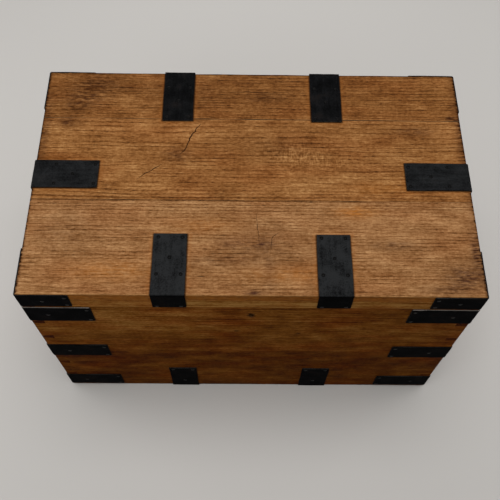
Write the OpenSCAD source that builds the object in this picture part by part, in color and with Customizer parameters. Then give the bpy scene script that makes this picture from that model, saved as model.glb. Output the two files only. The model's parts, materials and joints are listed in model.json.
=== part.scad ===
// Iron-bound oak storage chest: dovetailed board box, framed three-board lid,
// black iron straps, two strap hinges, two drop handles and a lock let into the front.
// Millimetres. The chest stands on z = 0, +Z is up and its front faces -Y.

/* [Box] */
// Width of the wooden box from end to end
chest_w = 800; // [640:1:1100]
// Depth of the wooden box from front to back
chest_d = 482; // [400:1:640]
// Height of the wooden box from its underside to its rim
box_h = 448; // [380:1:560]
// Thickness of the front, back and end boards
wall_t = 22; // [18:1:28]
// Thickness of the bottom boards
bottom_t = 16; // [16:1:22]
// Depth of the rebate that holds the bottom boards
rebate = 10; // [6:1:12]

/* [Dovetails] */
// Tails cut on each end of one board
tails = 3; // [2:1:5]
// Width of a pin at the corner of the box
pin_w = 9; // [6:1:16]
// Sideways slope of a tail, as one in this many
tail_slope = 7; // [5:1:9]

/* [Lid] */
// Thickness of the lid boards
lid_board_t = 22; // [18:1:28]
// Height of the rails under the lid boards
rail_h = 28; // [24:1:40]
// Width of the rails under the lid boards
rail_w = 28; // [27:1:40]
// Seam between the rim of the box and the rails
seam = 0.4; // [0.3:0.1:1]
// Depth of the front lid board
front_board_d = 188; // [150:1:240]
// Depth of the back lid board
back_board_d = 112; // [80:1:150]

/* [Straps] */
// Width of the iron straps
strap_w = 60; // [50:1:66]
// Thickness of the iron straps
strap_t = 2.5; // [2:0.1:4]
// Length of each leg of a strap
strap_leg = 120; // [110:1:130]
// Distance of the front, hinge and bottom straps from the middle of the box
strap_x = 143; // [110:1:180]
// Height of the straps round the lid corners
lid_corner_h = 46; // [38:1:46]
// Length of each leg of a lid corner strap
lid_corner_leg = 91; // [80:1:110]
// Wood left bare between an iron edge and the seam
seam_margin = 3; // [2:0.5:5]
// Height of the lowest corner strap above the underside of the box
low_strap_lift = 9.5; // [5:0.5:14]

/* [Nails] */
// Radius of a nail shank
nail_r = 1.8; // [1.2:0.1:2.2]
// Length of a nail below its head
nail_len = 17; // [14:0.5:18]
// Radius of a nail head
head_r = 3.8; // [3.2:0.1:5]
// Height of a domed nail head
head_h = 0.9; // [0.6:0.1:2]
// Clearance round a nail in its hole
nail_gap = 0.15; // [0.1:0.05:0.2]
// Distance of the outer nails from the end of a strap
end_inset = 7; // [6:0.5:10]
// Distance of the outer nails from the sides of a strap
side_inset = 9; // [7:0.5:11]
// Distance of the middle nail from the end of a strap
middle_inset = 47; // [40:1:55]
// Distance of the inner nails from the end of a strap
inner_inset = 79; // [70:1:85]

/* [Hinges] */
// Radius of a hinge pin
hinge_pin_r = 3; // [2.5:0.1:4]
// Clearance between a pin and its bore
running_gap = 0.06; // [0.03:0.01:0.09]
// Side clearance between two knuckles
knuckle_gap = 0.4; // [0.3:0.1:1]
// Height of the head on each end of a hinge pin
hinge_head_h = 2; // [1.5:0.5:3]

/* [Handles] */
// Height of the handle pivots above the floor
handle_z = 322; // [300:1:340]
// Distance between the arms of a handle
handle_span = 116; // [100:1:130]
// Drop of a handle below its pivots
handle_drop = 62; // [50:1:75]
// Radius of the bar of a handle
handle_bar_r = 5; // [4:0.5:6]
// Radius of the bend at a lower corner of a handle
handle_bend_r = 16; // [12:1:22]
// Radius of the pivot end of a handle
handle_pivot_r = 3.6; // [3:0.1:3.9]
// Distance of the pivots from the handle plate
handle_stand = 13; // [12:0.5:16]
// Width of an ear on the handle plate
ear_w = 9; // [7:1:12]
// Height of a handle plate
plate_h = 46; // [42:1:60]
// Length of a handle plate
plate_len = 150; // [146:1:170]
// Thickness of a handle plate
plate_t = 3; // [2.5:0.5:4]

/* [Lock] */
// Width of the lock case
lock_w = 76; // [72:1:90]
// Height of the lock case
lock_h = 56; // [50:1:64]
// Depth of the lock case in the front board
lock_d = 13; // [13:0.5:14]
// Thickness of the iron of the lock
lock_t = 1.6; // [1.2:0.1:2]
// Travel of the lock bolt
bolt_travel = 7; // [6:0.5:7]
// Depth of the keyhole below the rim
keyhole_drop = 34; // [30:1:38]
// Radius of the round part of the keyhole
keyhole_r = 3.6; // [3:0.1:4]
// Height of the keyhole
keyhole_h = 12.5; // [11:0.5:15]

/* [Hidden] */

left = -1;
right = 1;
front = -1;
back = 1;
oak = "#8a5a2e";
oak_dark = "#6b4220";
iron = "#26282a";
$fn = 48;
cut = 1; // how far a cut runs past the face that it opens

// Hinge knuckles stand behind the box and nail heads before it, so the box lies off centre.
knuckle_r = hinge_pin_r + strap_t;
hinge_stand = 0.3;
front_proud = strap_t + head_h;
back_proud = 2 * knuckle_r + hinge_stand;
front_y = front_proud - (chest_d + front_proud + back_proud) / 2;
back_y = front_y + chest_d;
mid_y = (front_y + back_y) / 2;

// Heights: the box stands on the straps that wrap under it.
box_z = strap_t;
rim_z = box_z + box_h;
rail_z = rim_z + seam;
lid_board_z = rail_z + rail_h;
lid_z = lid_board_z + lid_board_t;
board_h = box_h / 2;

hinge_y = back_y + hinge_stand + knuckle_r;
hinge_z = rim_z + seam / 2;
tongue_gap = 0.6; // between a knuckle and the end of a leaf
hinge_stop = knuckle_r + tongue_gap; // from the pin's centre to the flat of a leaf

top_corner_z = rim_z - seam_margin - strap_w / 2;
low_corner_z = box_z + low_strap_lift + strap_w / 2;
middle_corner_z = (top_corner_z + low_corner_z) / 2;
lid_corner_z = rail_z + seam_margin + lid_corner_h / 2;

// Unit directions
east = [1, 0, 0];
north = [0, 1, 0];
up = [0, 0, 1];

// Nail places on a strap leg: distance from the bend, distance from the leg's centre line.
function end_pair(len, w) = [for (s = [-1, 1]) [len - end_inset, s * (w / 2 - side_inset)]];
function inner_pair(len, w) = [for (s = [-1, 1]) [len - inner_inset, s * (w / 2 - side_inset)]];
function five_nails(len, w) = concat(end_pair(len, w), [[len - middle_inset, 0]], inner_pair(len, w));
function three_nails(len, w) = concat(end_pair(len, w), [[len - inner_inset, 0]]);
function short_nails(len, w) = concat(end_pair(len, w), [[len - middle_inset, 0]]);

// A strap is bent round an edge of the box: the edge's place, the directions of its two legs
// away from the edge, the two lengths from the edge, its width, the nails of each leg, and
// whether the nails of the first leg are flush.
function lid_front_strap(side) =
    let (a = strap_leg - strap_t, b = lid_z - rail_z - seam_margin)
    [[side * strap_x, front_y, lid_z], north, -up, a, b, strap_w,
     five_nails(a, strap_w), end_pair(b, strap_w), false];
function lid_end_strap(side) =
    let (a = strap_leg - strap_t, b = lid_z - rail_z - seam_margin)
    [[side * chest_w / 2, mid_y, lid_z], -side * east, -up, a, b, strap_w,
     five_nails(a, strap_w), end_pair(b, strap_w), false];
function lid_hinge_strap(side) =
    let (a = strap_leg - strap_t, b = lid_z - hinge_z - hinge_stop)
    [[side * strap_x, back_y, lid_z], -north, -up, a, b, strap_w,
     five_nails(a, strap_w), end_pair(b, strap_w), false];
function corner_strap(x, y, z, leg, w, nails) =
    [[x * chest_w / 2, y > 0 ? back_y : front_y, z], -x * east, -y * north,
     leg - strap_t, leg - strap_t, w, nails, nails, false];
function lid_corner(x, y) =
    corner_strap(x, y, lid_corner_z, lid_corner_leg, lid_corner_h,
                 short_nails(lid_corner_leg - strap_t, lid_corner_h));
function box_corner(x, y, z) =
    corner_strap(x, y, z, strap_leg, strap_w, three_nails(strap_leg - strap_t, strap_w));
function bottom_strap(place, inward) =
    let (a = strap_leg - strap_t)
    [place, inward, up, a, a, strap_w, three_nails(a, strap_w), three_nails(a, strap_w), true];
function front_bottom_strap(side) = bottom_strap([side * strap_x, front_y, box_z], north);
function back_bottom_strap(side) = bottom_strap([side * strap_x, back_y, box_z], -north);
function end_bottom_strap(side) = bottom_strap([side * chest_w / 2, mid_y, box_z], -side * east);

lid_straps = concat(
    [for (s = [left, right]) lid_front_strap(s)],
    [for (s = [left, right]) lid_end_strap(s)],
    [for (s = [left, right]) lid_hinge_strap(s)],
    [for (x = [left, right]) for (y = [front, back]) lid_corner(x, y)]
);
box_straps = concat(
    [for (x = [left, right]) for (y = [front, back])
        for (z = [top_corner_z, middle_corner_z, low_corner_z]) box_corner(x, y, z)],
    [for (s = [left, right]) front_bottom_strap(s)],
    [for (s = [left, right]) back_bottom_strap(s)],
    [for (s = [left, right]) end_bottom_strap(s)]
);

// Puts its children in a frame with the given corner and first two axes.
module in_frame(p, u, v) {
    w = cross(u, v);
    multmatrix([
        [u.x, v.x, w.x, p.x],
        [u.y, v.y, w.y, p.y],
        [u.z, v.z, w.z, p.z],
        [0, 0, 0, 1],
    ]) children();
}

// Nails: the origin is where the head meets the iron, and the shank points down.
// A head rises in three steps; a flush one sits in a counterbore instead.
dome_steps = [[1, 0.5], [0.8, 0.8], [0.5, 1]]; // share of the head's radius, share of its height
flush_t = 1.2;
module nail(flush) {
    steps = [for (d = dome_steps) [d[0] * head_r, d[1] * head_h]];
    dome = [for (i = [0:len(steps) - 1])
        each [[steps[i].x, i == 0 ? 0 : steps[i - 1].y], steps[i]]];
    flat = [[head_r - nail_gap, -flush_t], [head_r - nail_gap, -nail_gap]];
    rotate_extrude($fn = 24)
        polygon(concat([[0, -nail_len], [nail_r, -nail_len], [nail_r, flush ? -flush_t : 0]],
                       flush ? flat : dome, [[0, flush ? -nail_gap : head_h]]));
}
module nail_hole(flush) {
    r = nail_r + nail_gap;
    depth = nail_len + nail_gap;
    translate([0, 0, -depth]) cylinder(r = r, h = depth + cut);
    if (flush) translate([0, 0, -flush_t]) cylinder(r = head_r, h = flush_t + cut);
}

// Places a nail or its hole at every nail of a strap.
module at_nails(s) {
    in_frame(s[0], s[1], s[2]) {
        for (p = s[6]) translate([p[0], -strap_t, p[1]]) rotate([90, 0, 0]) children(s[8] ? 1 : 0);
        for (p = s[7]) translate([-strap_t, p[0], p[1]]) rotate([0, -90, 0]) children(0);
    }
}
module strap_nails(s) {
    at_nails(s) {
        nail(false);
        nail(true);
    }
}
module strap_nail_holes(s) {
    at_nails(s) {
        nail_hole(false);
        nail_hole(true);
    }
}

// A flat iron bar bent round the edge at the origin, its outer bend rounded.
module strap_blank(s) {
    in_frame(s[0], s[1], s[2])
        translate([0, 0, -s[5] / 2])
            linear_extrude(s[5]) {
                translate([0, -strap_t]) square([s[3], strap_t]);
                translate([-strap_t, 0]) square([strap_t, s[4]]);
                intersection() {
                    circle(r = strap_t);
                    translate([-strap_t, -strap_t]) square(strap_t);
                }
            }
}
module strap(s) {
    color(iron) difference() {
        strap_blank(s);
        strap_nail_holes(s);
    }
}

// Nail places of the box leaf of a hinge and of a handle plate
module at_box_leaf_nails(side) {
    len = rim_z - box_leaf_z;
    for (p = five_nails(len, strap_w))
        translate([side * strap_x + p[1], back_y + strap_t, rim_z - p[0]]) rotate([-90, 0, 0]) children();
}
module at_handle_nails(side) {
    for (y = [-1, 1]) for (z = [-1, 1])
        translate([side * (chest_w / 2 + plate_t), mid_y + y * (plate_len / 2 - end_inset),
                   handle_z + z * (plate_h / 2 - end_inset)])
            rotate([0, side * 90, 0]) children();
}
module at_lock_nails() {
    for (x = [-1, 1]) for (z = [lock_nail_inset, lock_h - lock_nail_inset])
        translate([x * (lock_w / 2 + lock_flange / 2), lock_y + lock_t, rim_z - z])
            rotate([-90, 0, 0]) children();
}
box_leaf_z = rim_z - strap_leg; // lower end of the box leaf of a hinge

// Every nail hole in the wood of the box
module box_nail_holes() {
    for (s = box_straps) strap_nail_holes(s);
    for (side = [left, right]) {
        at_box_leaf_nails(side) nail_hole(false);
        at_handle_nails(side) nail_hole(false);
    }
}
module lid_nail_holes() {
    for (s = lid_straps) strap_nail_holes(s);
}

// Through dovetails, drawn across a board end: x runs in from the end, y up the board.
module tail_outlines() {
    pitch = board_h / tails;
    half = (pitch - pin_w) / 2;
    for (i = [0:tails - 1])
        let (c = (i + 0.5) * pitch, outer = half + cut / tail_slope,
             inner = half - (wall_t + cut) / tail_slope)
            polygon([
                [-cut, c - outer], [-cut, c + outer],
                [wall_t + cut, c + inner], [wall_t + cut, c - inner],
            ]);
}
module pin_outlines() {
    difference() {
        translate([-cut, -cut]) square([wall_t + cut, board_h + 2 * cut]);
        tail_outlines();
    }
}
// Front and back boards carry the tails.
module long_board(y, z) {
    difference() {
        translate([-chest_w / 2, y, z]) cube([chest_w, wall_t, board_h]);
        for (m = [0, 1])
            mirror([m, 0, 0])
                translate([-chest_w / 2, y + wall_t + cut, z])
                    rotate([90, 0, 0]) linear_extrude(wall_t + 2 * cut) pin_outlines();
        box_nail_holes();
        bottom_space();
    }
}
// End boards carry the pins.
module end_board(side, z) {
    color(oak) difference() {
        mirror([side > 0 ? 1 : 0, 0, 0]) difference() {
            translate([-chest_w / 2, front_y, z]) cube([wall_t, chest_d, board_h]);
            for (y = [front_y + wall_t, back_y + cut])
                translate([-chest_w / 2, y, z])
                    rotate([90, 0, 0]) linear_extrude(wall_t + cut) tail_outlines();
        }
        box_nail_holes();
        bottom_space();
    }
}

// Bottom boards lie in a rebate round the foot of the walls.
bottom_w = chest_w - 2 * (wall_t - rebate);
bottom_d = chest_d - 2 * (wall_t - rebate);
module bottom_space() {
    translate([-bottom_w / 2, mid_y - bottom_d / 2, box_z - cut])
        cube([bottom_w, bottom_d, bottom_t + cut]);
}
module bottom_board(side) {
    color(oak_dark) difference() {
        translate([-bottom_w / 2, mid_y - (side < 0 ? bottom_d / 2 : 0), box_z])
            cube([bottom_w, bottom_d / 2, bottom_t]);
        box_nail_holes();
    }
}

// The lock: a case let into the front board, closed by a plate with a flange inside the chest.
// Its bolt slides sideways, and its two fingers enter the two loops of the link plate on the lid.
lock_y = front_y + wall_t; // inner face of the front board
lock_flange = 10;
lock_nail_inset = 8;
case_y = lock_y - lock_d;
bolt_y = lock_y - lock_d / 2;
bolt_w = 4.6; // thickness of the bolt from front to back
bolt_bar_h = 8;
bolt_bar_drop = 22; // from the rim down to the underside of the bolt
bolt_bar_z = rim_z - bolt_bar_drop;
finger_h = 4;
finger_drop = 9; // from the rim down to the underside of a finger
finger_z = rim_z - finger_drop;
post_w = 4; // posts that carry the fingers
post_gap = 1; // between a post and a loop when the bolt is out
loop_x = 18;
loop_w = 4; // size of a loop along the bolt's travel
loop_drop = 12;
loop_foot = 1.6; // iron under the window of a loop
loop_side = 1.4; // iron beside the window
loop_margin = 1; // round a loop in the top of the case
bolt_margin = 0.5; // round the bolt in the window of a loop
ledge_h = 2;
ledge_gap = 0.3;
key_post_r = 1.5;
link_margin = 1; // between the link plate and the inner face of the front board
link_w = lock_w - 2 * lock_t;
link_d = lock_d - 2 * link_margin;

module keyhole(from, depth) {
    z = rim_z - keyhole_drop;
    translate([0, from + depth, z]) rotate([90, 0, 0]) linear_extrude(depth) {
        circle(r = keyhole_r);
        translate([-keyhole_r / 2, keyhole_r - keyhole_h]) square([keyhole_r, keyhole_h - keyhole_r]);
    }
}
module front_board(z, has_lock) {
    color(oak) difference() {
        long_board(front_y, z);
        if (has_lock) {
            translate([-lock_w / 2, case_y, rim_z - lock_h]) cube([lock_w, lock_d + cut, lock_h + cut]);
            keyhole(front_y - cut, wall_t);
            at_lock_nails() nail_hole(false);
        }
    }
}
module back_board(z) {
    color(oak) long_board(back_y - wall_t, z);
}
module lock_case() {
    inner_w = lock_w - 2 * lock_t;
    inner_h = lock_h - 2 * lock_t;
    color(iron) {
        difference() {
            translate([-lock_w / 2, case_y, rim_z - lock_h]) cube([lock_w, lock_d, lock_h]);
            translate([-inner_w / 2, case_y + lock_t, rim_z - lock_h + lock_t])
                cube([inner_w, lock_d, inner_h]);
            keyhole(case_y - cut, lock_t + 2 * cut);
            for (s = [-1, 1])
                translate([s * loop_x - loop_w / 2 - loop_margin, case_y + lock_t, rim_z - lock_t - cut])
                    cube([loop_w + 2 * loop_margin, lock_d, lock_t + 2 * cut]);
        }
        // the ledge that the bolt slides on
        translate([-lock_w / 2, case_y, bolt_bar_z - ledge_gap - ledge_h])
            cube([lock_w, lock_d - ledge_gap, ledge_h]);
    }
}
// The plate carries the post that centres the key.
module lock_plate() {
    w = lock_w + 2 * lock_flange;
    color(iron) {
        difference() {
            translate([-w / 2, lock_y, rim_z - lock_h]) cube([w, lock_t, lock_h]);
            at_lock_nails() nail_hole(false);
        }
        translate([0, lock_y + lock_t / 2, rim_z - keyhole_drop]) rotate([90, 0, 0])
            cylinder(r = key_post_r, h = lock_d - lock_t);
    }
}
module lock_bolt() {
    reach = bolt_travel + post_gap + post_w; // from the near side of a loop back to the far side of a post
    color(iron) {
        for (s = [-1, 1]) translate([s * loop_x - loop_w / 2 - reach, bolt_y - bolt_w / 2, 0]) {
            translate([0, 0, bolt_bar_z]) cube([post_w, bolt_w, finger_z + finger_h - bolt_bar_z]);
            translate([0, 0, finger_z]) cube([reach - post_gap, bolt_w, finger_h]);
        }
        translate([-loop_x - loop_w / 2 - reach, bolt_y - bolt_w / 2, bolt_bar_z])
            cube([2 * loop_x + post_w, bolt_w, bolt_bar_h]);
    }
}
module lock_link_plate() {
    loop_d = bolt_w + 2 * bolt_margin + 2 * loop_side;
    window_h = finger_z + finger_h + bolt_margin - (rim_z - loop_drop + loop_foot);
    color(iron) {
        translate([-link_w / 2, bolt_y - link_d / 2, rail_z]) cube([link_w, link_d, lock_t]);
        for (s = [-1, 1]) translate([s * loop_x - loop_w / 2, bolt_y, rim_z - loop_drop])
            difference() {
                translate([0, -loop_d / 2, 0]) cube([loop_w, loop_d, loop_drop + seam + lock_t]);
                translate([-cut, loop_side - loop_d / 2, loop_foot])
                    cube([loop_w + 2 * cut, loop_d - 2 * loop_side, window_h]);
            }
    }
}

// Lid: three boards run from end to end over a frame of four rails.
module lid_board(from, to) {
    color(oak) difference() {
        translate([-chest_w / 2, from, lid_board_z]) cube([chest_w, to - from, lid_board_t]);
        lid_nail_holes();
    }
}
module long_rail(y, has_lock) {
    color(oak) difference() {
        translate([-chest_w / 2, y, rail_z]) cube([chest_w, rail_w, rail_h]);
        lid_nail_holes();
        if (has_lock)
            translate([-link_w / 2, bolt_y - link_d / 2, rail_z - cut]) cube([link_w, link_d, lock_t + cut]);
    }
}
module end_rail(side) {
    color(oak) difference() {
        translate([side < 0 ? -chest_w / 2 : chest_w / 2 - rail_w, front_y + rail_w, rail_z])
            cube([rail_w, chest_d - 2 * rail_w, rail_h]);
        lid_nail_holes();
    }
}

// Hinges: the lid leaf has the middle knuckle and the box leaf the two outer ones.
knuckle_w = strap_w / 3;
module hinge_bar(x, w, r) {
    translate([x - w / 2, hinge_y, hinge_z]) rotate([0, 90, 0]) cylinder(r = r, h = w);
}
// A knuckle and the tongue that joins it to a leaf above (1) or below (-1)
module knuckle(x, w, side) {
    hinge_bar(x, w, knuckle_r);
    translate([x - w / 2, back_y, hinge_z - (side < 0 ? hinge_stop : 0)]) cube([w, strap_t, hinge_stop]);
}
module hinge_lid_leaf(side) {
    color(iron) difference() {
        union() {
            strap_blank(lid_hinge_strap(side));
            knuckle(side * strap_x, knuckle_w - knuckle_gap, 1);
        }
        hinge_bar(side * strap_x, strap_w, hinge_pin_r + running_gap);
        strap_nail_holes(lid_hinge_strap(side));
    }
}
module hinge_box_leaf(side) {
    x = side * strap_x;
    color(iron) difference() {
        union() {
            translate([x - strap_w / 2, back_y, box_leaf_z])
                cube([strap_w, strap_t, hinge_z - hinge_stop - box_leaf_z]);
            for (s = [-1, 1]) knuckle(x + s * knuckle_w, knuckle_w, -1);
        }
        hinge_bar(x, strap_w + 2 * cut, hinge_pin_r + running_gap);
        at_box_leaf_nails(side) nail_hole(false);
    }
}
module hinge_pin(side) {
    head_gap = 0.2;
    head_rim = 1; // how far the knuckle stands out round the head
    head_x = (strap_w + hinge_head_h) / 2 + head_gap;
    color(iron) {
        hinge_bar(side * strap_x, strap_w + 2 * head_gap, hinge_pin_r);
        for (s = [-1, 1])
            hinge_bar(side * strap_x + s * head_x, hinge_head_h, knuckle_r - head_rim);
    }
}

// Handles: a plate with two ears, and a bail whose ends turn in through the ears.
handle_x = chest_w / 2 + plate_t + handle_stand;
ear_gap = 1; // between an ear and the arm of the bail
ear_wall = 4; // iron round the bore of an ear
ear_y = handle_span / 2 - handle_bar_r - ear_gap - ear_w / 2;
ear_r = handle_pivot_r + ear_wall;
pivot_end = 2; // how far a pivot runs past its ear
module on_end(side) {
    translate([0, mid_y, 0]) mirror([side < 0 ? 1 : 0, 0, 0]) children();
}
module handle_plate(side) {
    foot = handle_stand + plate_t / 2;
    color(iron) difference() {
        on_end(side) difference() {
            union() {
                translate([chest_w / 2, -plate_len / 2, handle_z - plate_h / 2])
                    cube([plate_t, plate_len, plate_h]);
                for (s = [-1, 1])
                    translate([handle_x, s * ear_y + ear_w / 2, handle_z]) rotate([90, 0, 0]) {
                        cylinder(r = ear_r, h = ear_w);
                        translate([-foot, -ear_r, 0]) cube([foot, 2 * ear_r, ear_w]);
                    }
            }
            translate([handle_x, plate_len / 2, handle_z]) rotate([90, 0, 0])
                cylinder(r = handle_pivot_r + running_gap, h = plate_len);
        }
        at_handle_nails(side) nail_hole(false);
    }
}
// The domed stub above each pivot comes up to the plate when the bail is level, and stops it there.
module handle_bail(side) {
    arm_y = handle_span / 2;
    stop_gap = 0.3;
    stub_h = handle_stand - stop_gap - handle_bar_r;
    low = handle_drop - handle_bend_r;
    pivot_len = handle_bar_r + ear_gap + ear_w + pivot_end;
    color(iron) on_end(side) translate([handle_x, 0, handle_z]) {
        for (s = [-1, 1]) {
            translate([0, s * arm_y, -low]) cylinder(r = handle_bar_r, h = low + stub_h);
            translate([0, s * arm_y, stub_h]) sphere(r = handle_bar_r);
            translate([0, s * arm_y + (s < 0 ? pivot_len : 0), 0]) rotate([90, 0, 0])
                cylinder(r = handle_pivot_r, h = pivot_len);
            translate([0, s * (arm_y - handle_bend_r), -low]) rotate([90, 0, s * 90]) rotate([0, 0, -90])
                rotate_extrude(angle = 90) translate([handle_bend_r, 0]) circle(r = handle_bar_r);
        }
        translate([0, arm_y - handle_bend_r, -handle_drop]) rotate([90, 0, 0])
            cylinder(r = handle_bar_r, h = 2 * (arm_y - handle_bend_r));
    }
}

module lid_nails() {
    color(iron) for (s = lid_straps) strap_nails(s);
}
module box_nails() {
    color(iron) {
        for (s = box_straps) strap_nails(s);
        for (side = [left, right]) {
            at_box_leaf_nails(side) nail(false);
            at_handle_nails(side) nail(false);
        }
        at_lock_nails() nail(false);
    }
}

front_board(box_z + board_h, true);  // front_board_upper
front_board(box_z, false);  // front_board_lower
back_board(box_z + board_h);  // back_board_upper
back_board(box_z);  // back_board_lower
end_board(left, box_z + board_h);  // left_end_board_upper
end_board(left, box_z);  // left_end_board_lower
end_board(right, box_z + board_h);  // right_end_board_upper
end_board(right, box_z);  // right_end_board_lower
bottom_board(front);  // bottom_board_front
bottom_board(back);  // bottom_board_back
lid_board(front_y, front_y + front_board_d);  // lid_board_front
lid_board(front_y + front_board_d, back_y - back_board_d);  // lid_board_middle
lid_board(back_y - back_board_d, back_y);  // lid_board_back
long_rail(front_y, true);  // lid_rail_front
long_rail(back_y - rail_w, false);  // lid_rail_back
end_rail(left);  // lid_rail_left
end_rail(right);  // lid_rail_right
strap(lid_front_strap(left));  // lid_strap_front_left
strap(lid_front_strap(right));  // lid_strap_front_right
strap(lid_end_strap(left));  // lid_strap_end_left
strap(lid_end_strap(right));  // lid_strap_end_right
strap(lid_corner(left, front));  // lid_corner_front_left
strap(lid_corner(right, front));  // lid_corner_front_right
strap(lid_corner(left, back));  // lid_corner_back_left
strap(lid_corner(right, back));  // lid_corner_back_right
hinge_lid_leaf(left);  // hinge_lid_leaf_left
hinge_lid_leaf(right);  // hinge_lid_leaf_right
hinge_box_leaf(left);  // hinge_box_leaf_left
hinge_box_leaf(right);  // hinge_box_leaf_right
hinge_pin(left);  // hinge_pin_left
hinge_pin(right);  // hinge_pin_right
strap(box_corner(left, front, top_corner_z));  // corner_top_front_left
strap(box_corner(right, front, top_corner_z));  // corner_top_front_right
strap(box_corner(left, back, top_corner_z));  // corner_top_back_left
strap(box_corner(right, back, top_corner_z));  // corner_top_back_right
strap(box_corner(left, front, middle_corner_z));  // corner_middle_front_left
strap(box_corner(right, front, middle_corner_z));  // corner_middle_front_right
strap(box_corner(left, back, middle_corner_z));  // corner_middle_back_left
strap(box_corner(right, back, middle_corner_z));  // corner_middle_back_right
strap(box_corner(left, front, low_corner_z));  // corner_low_front_left
strap(box_corner(right, front, low_corner_z));  // corner_low_front_right
strap(box_corner(left, back, low_corner_z));  // corner_low_back_left
strap(box_corner(right, back, low_corner_z));  // corner_low_back_right
strap(front_bottom_strap(left));  // bottom_strap_front_left
strap(front_bottom_strap(right));  // bottom_strap_front_right
strap(back_bottom_strap(left));  // bottom_strap_back_left
strap(back_bottom_strap(right));  // bottom_strap_back_right
strap(end_bottom_strap(left));  // bottom_strap_end_left
strap(end_bottom_strap(right));  // bottom_strap_end_right
handle_plate(left);  // handle_plate_left
handle_plate(right);  // handle_plate_right
handle_bail(left);  // handle_bail_left
handle_bail(right);  // handle_bail_right
lock_case();
lock_plate();
lock_bolt();
lock_link_plate();
lid_nails();
box_nails();
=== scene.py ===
"""Iron-bound oak storage chest: its surfaces and finishes, laid over the fixed CAD frame.

Lengths are metres unless a name ends in _mm. +X is right, -Y is the front and +Z is up.
Boards, straps, nails, hinges and handles are surfaces worked out here with numpy. The walls, the
rails, the bottom and the lock keep their CAD solids and get softened edges and a finish.
"""

import json
import logging
import math
from dataclasses import dataclass, field
from enum import Enum

import bpy
import numpy as np
from mathutils import Matrix, Vector


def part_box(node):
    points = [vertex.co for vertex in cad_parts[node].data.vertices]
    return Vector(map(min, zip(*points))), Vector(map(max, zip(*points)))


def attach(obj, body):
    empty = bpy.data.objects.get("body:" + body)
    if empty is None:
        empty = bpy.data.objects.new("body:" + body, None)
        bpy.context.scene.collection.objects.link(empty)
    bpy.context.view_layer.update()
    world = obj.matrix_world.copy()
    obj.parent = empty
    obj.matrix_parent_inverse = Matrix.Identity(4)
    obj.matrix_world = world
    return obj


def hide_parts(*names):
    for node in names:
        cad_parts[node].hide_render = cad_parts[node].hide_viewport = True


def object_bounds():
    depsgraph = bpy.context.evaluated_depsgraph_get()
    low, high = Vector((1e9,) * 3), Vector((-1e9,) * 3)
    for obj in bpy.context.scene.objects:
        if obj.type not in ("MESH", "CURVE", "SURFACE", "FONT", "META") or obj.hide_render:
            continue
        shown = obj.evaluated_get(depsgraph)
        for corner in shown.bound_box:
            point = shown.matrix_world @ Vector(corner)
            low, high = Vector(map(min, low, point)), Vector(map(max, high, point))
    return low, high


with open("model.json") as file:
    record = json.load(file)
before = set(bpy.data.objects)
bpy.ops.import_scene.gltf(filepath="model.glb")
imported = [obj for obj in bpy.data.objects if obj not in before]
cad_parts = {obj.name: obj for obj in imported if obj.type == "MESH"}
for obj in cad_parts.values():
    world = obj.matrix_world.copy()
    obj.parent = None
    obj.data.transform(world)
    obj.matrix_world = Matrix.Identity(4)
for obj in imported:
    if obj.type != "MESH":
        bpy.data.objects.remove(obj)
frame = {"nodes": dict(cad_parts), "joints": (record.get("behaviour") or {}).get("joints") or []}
CAD_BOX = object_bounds()

LOG = logging.getLogger("chest")
MM = 0.001
QUARTER = math.pi / 2
X, Y, Z = np.eye(3)

Array = np.ndarray
Node = bpy.types.Node
Material = bpy.types.Material
Place = tuple[float, float, float]

# Sizes that the frame's boxes don't give, as in the CAD source
NAIL_SIDE_INSET = 9 * MM
NAIL_END_INSET = 7 * MM
NAIL_MIDDLE_INSET = 47 * MM
NAIL_INNER_INSET = 79 * MM
STRAP_LEG = 120 * MM
HINGE_STOP = 6.1 * MM
KNUCKLE_GAP = 0.4 * MM

# The worked iron
DINT_WIDE = 13 * MM  # a hammer mark
PLATE_DINT = 0.12 * MM  # its mean depth on a plate
RUBBED_RIM = 2.2 * MM  # how far in from an edge hands rub the coat off
BAR_STEP = 2.5 * MM  # between points across a bar or plate, and along a bar
PLATE_STEP = 4 * MM  # between points along a plate

FAR_MM = 40.0  # a distance past which a mark on the lid no longer shows


class Side(Enum):
    """The two ends of the chest."""

    LEFT = -1
    RIGHT = 1

    @property
    def word(self) -> str:
        """The side's name in node names."""
        return self.name.lower()


class Grain(Enum):
    """The way that a board's grain runs, as the turn about Z that brings it to +X."""

    ALONG_X = 0.0
    ALONG_Y = -QUARTER


class Dust(Enum):
    """How much dust lies on the faces of an iron that look up, with painted sheen there that stands for the
    light that they reflect.
    """

    DARK = 0.12
    GREY = 0.47
    RUBBED = 0.76


def node_box(node: str) -> tuple[Array, Array]:
    """Gives the lowest and highest corner of a CAD node, in metres."""
    low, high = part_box(node)
    return np.array(low), np.array(high)


def linear(hex_colour: str) -> tuple[float, ...]:
    """Turns an sRGB colour such as "8a5a2e" to linear red, green and blue, with an alpha of 1."""
    srgb = [int(hex_colour[i : i + 2], 16) / 255 for i in (0, 2, 4)]
    return (*[c / 12.92 if c <= 0.04045 else ((c + 0.055) / 1.055) ** 2.4 for c in srgb], 1.0)


def near(distance: Array, reach: float) -> Array:
    """How near something is: 1 at no distance, falling evenly to 0 at the reach."""
    return np.clip(1 - distance / reach, 0, 1)


def quarter_round(distance: Array, radius: float) -> Array:
    """How far a rounded edge draws in: radius - sqrt(radius^2 - (radius - distance)^2)."""
    inner = radius - np.clip(distance, 0, radius)
    return radius - np.sqrt(radius**2 - inner**2)


def eased(soft: float) -> Array:
    """Distances from the end of a rounded edge: soft - soft * cos of four even angles."""
    return soft * (1 - np.cos(np.linspace(0, QUARTER, 4)))


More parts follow.
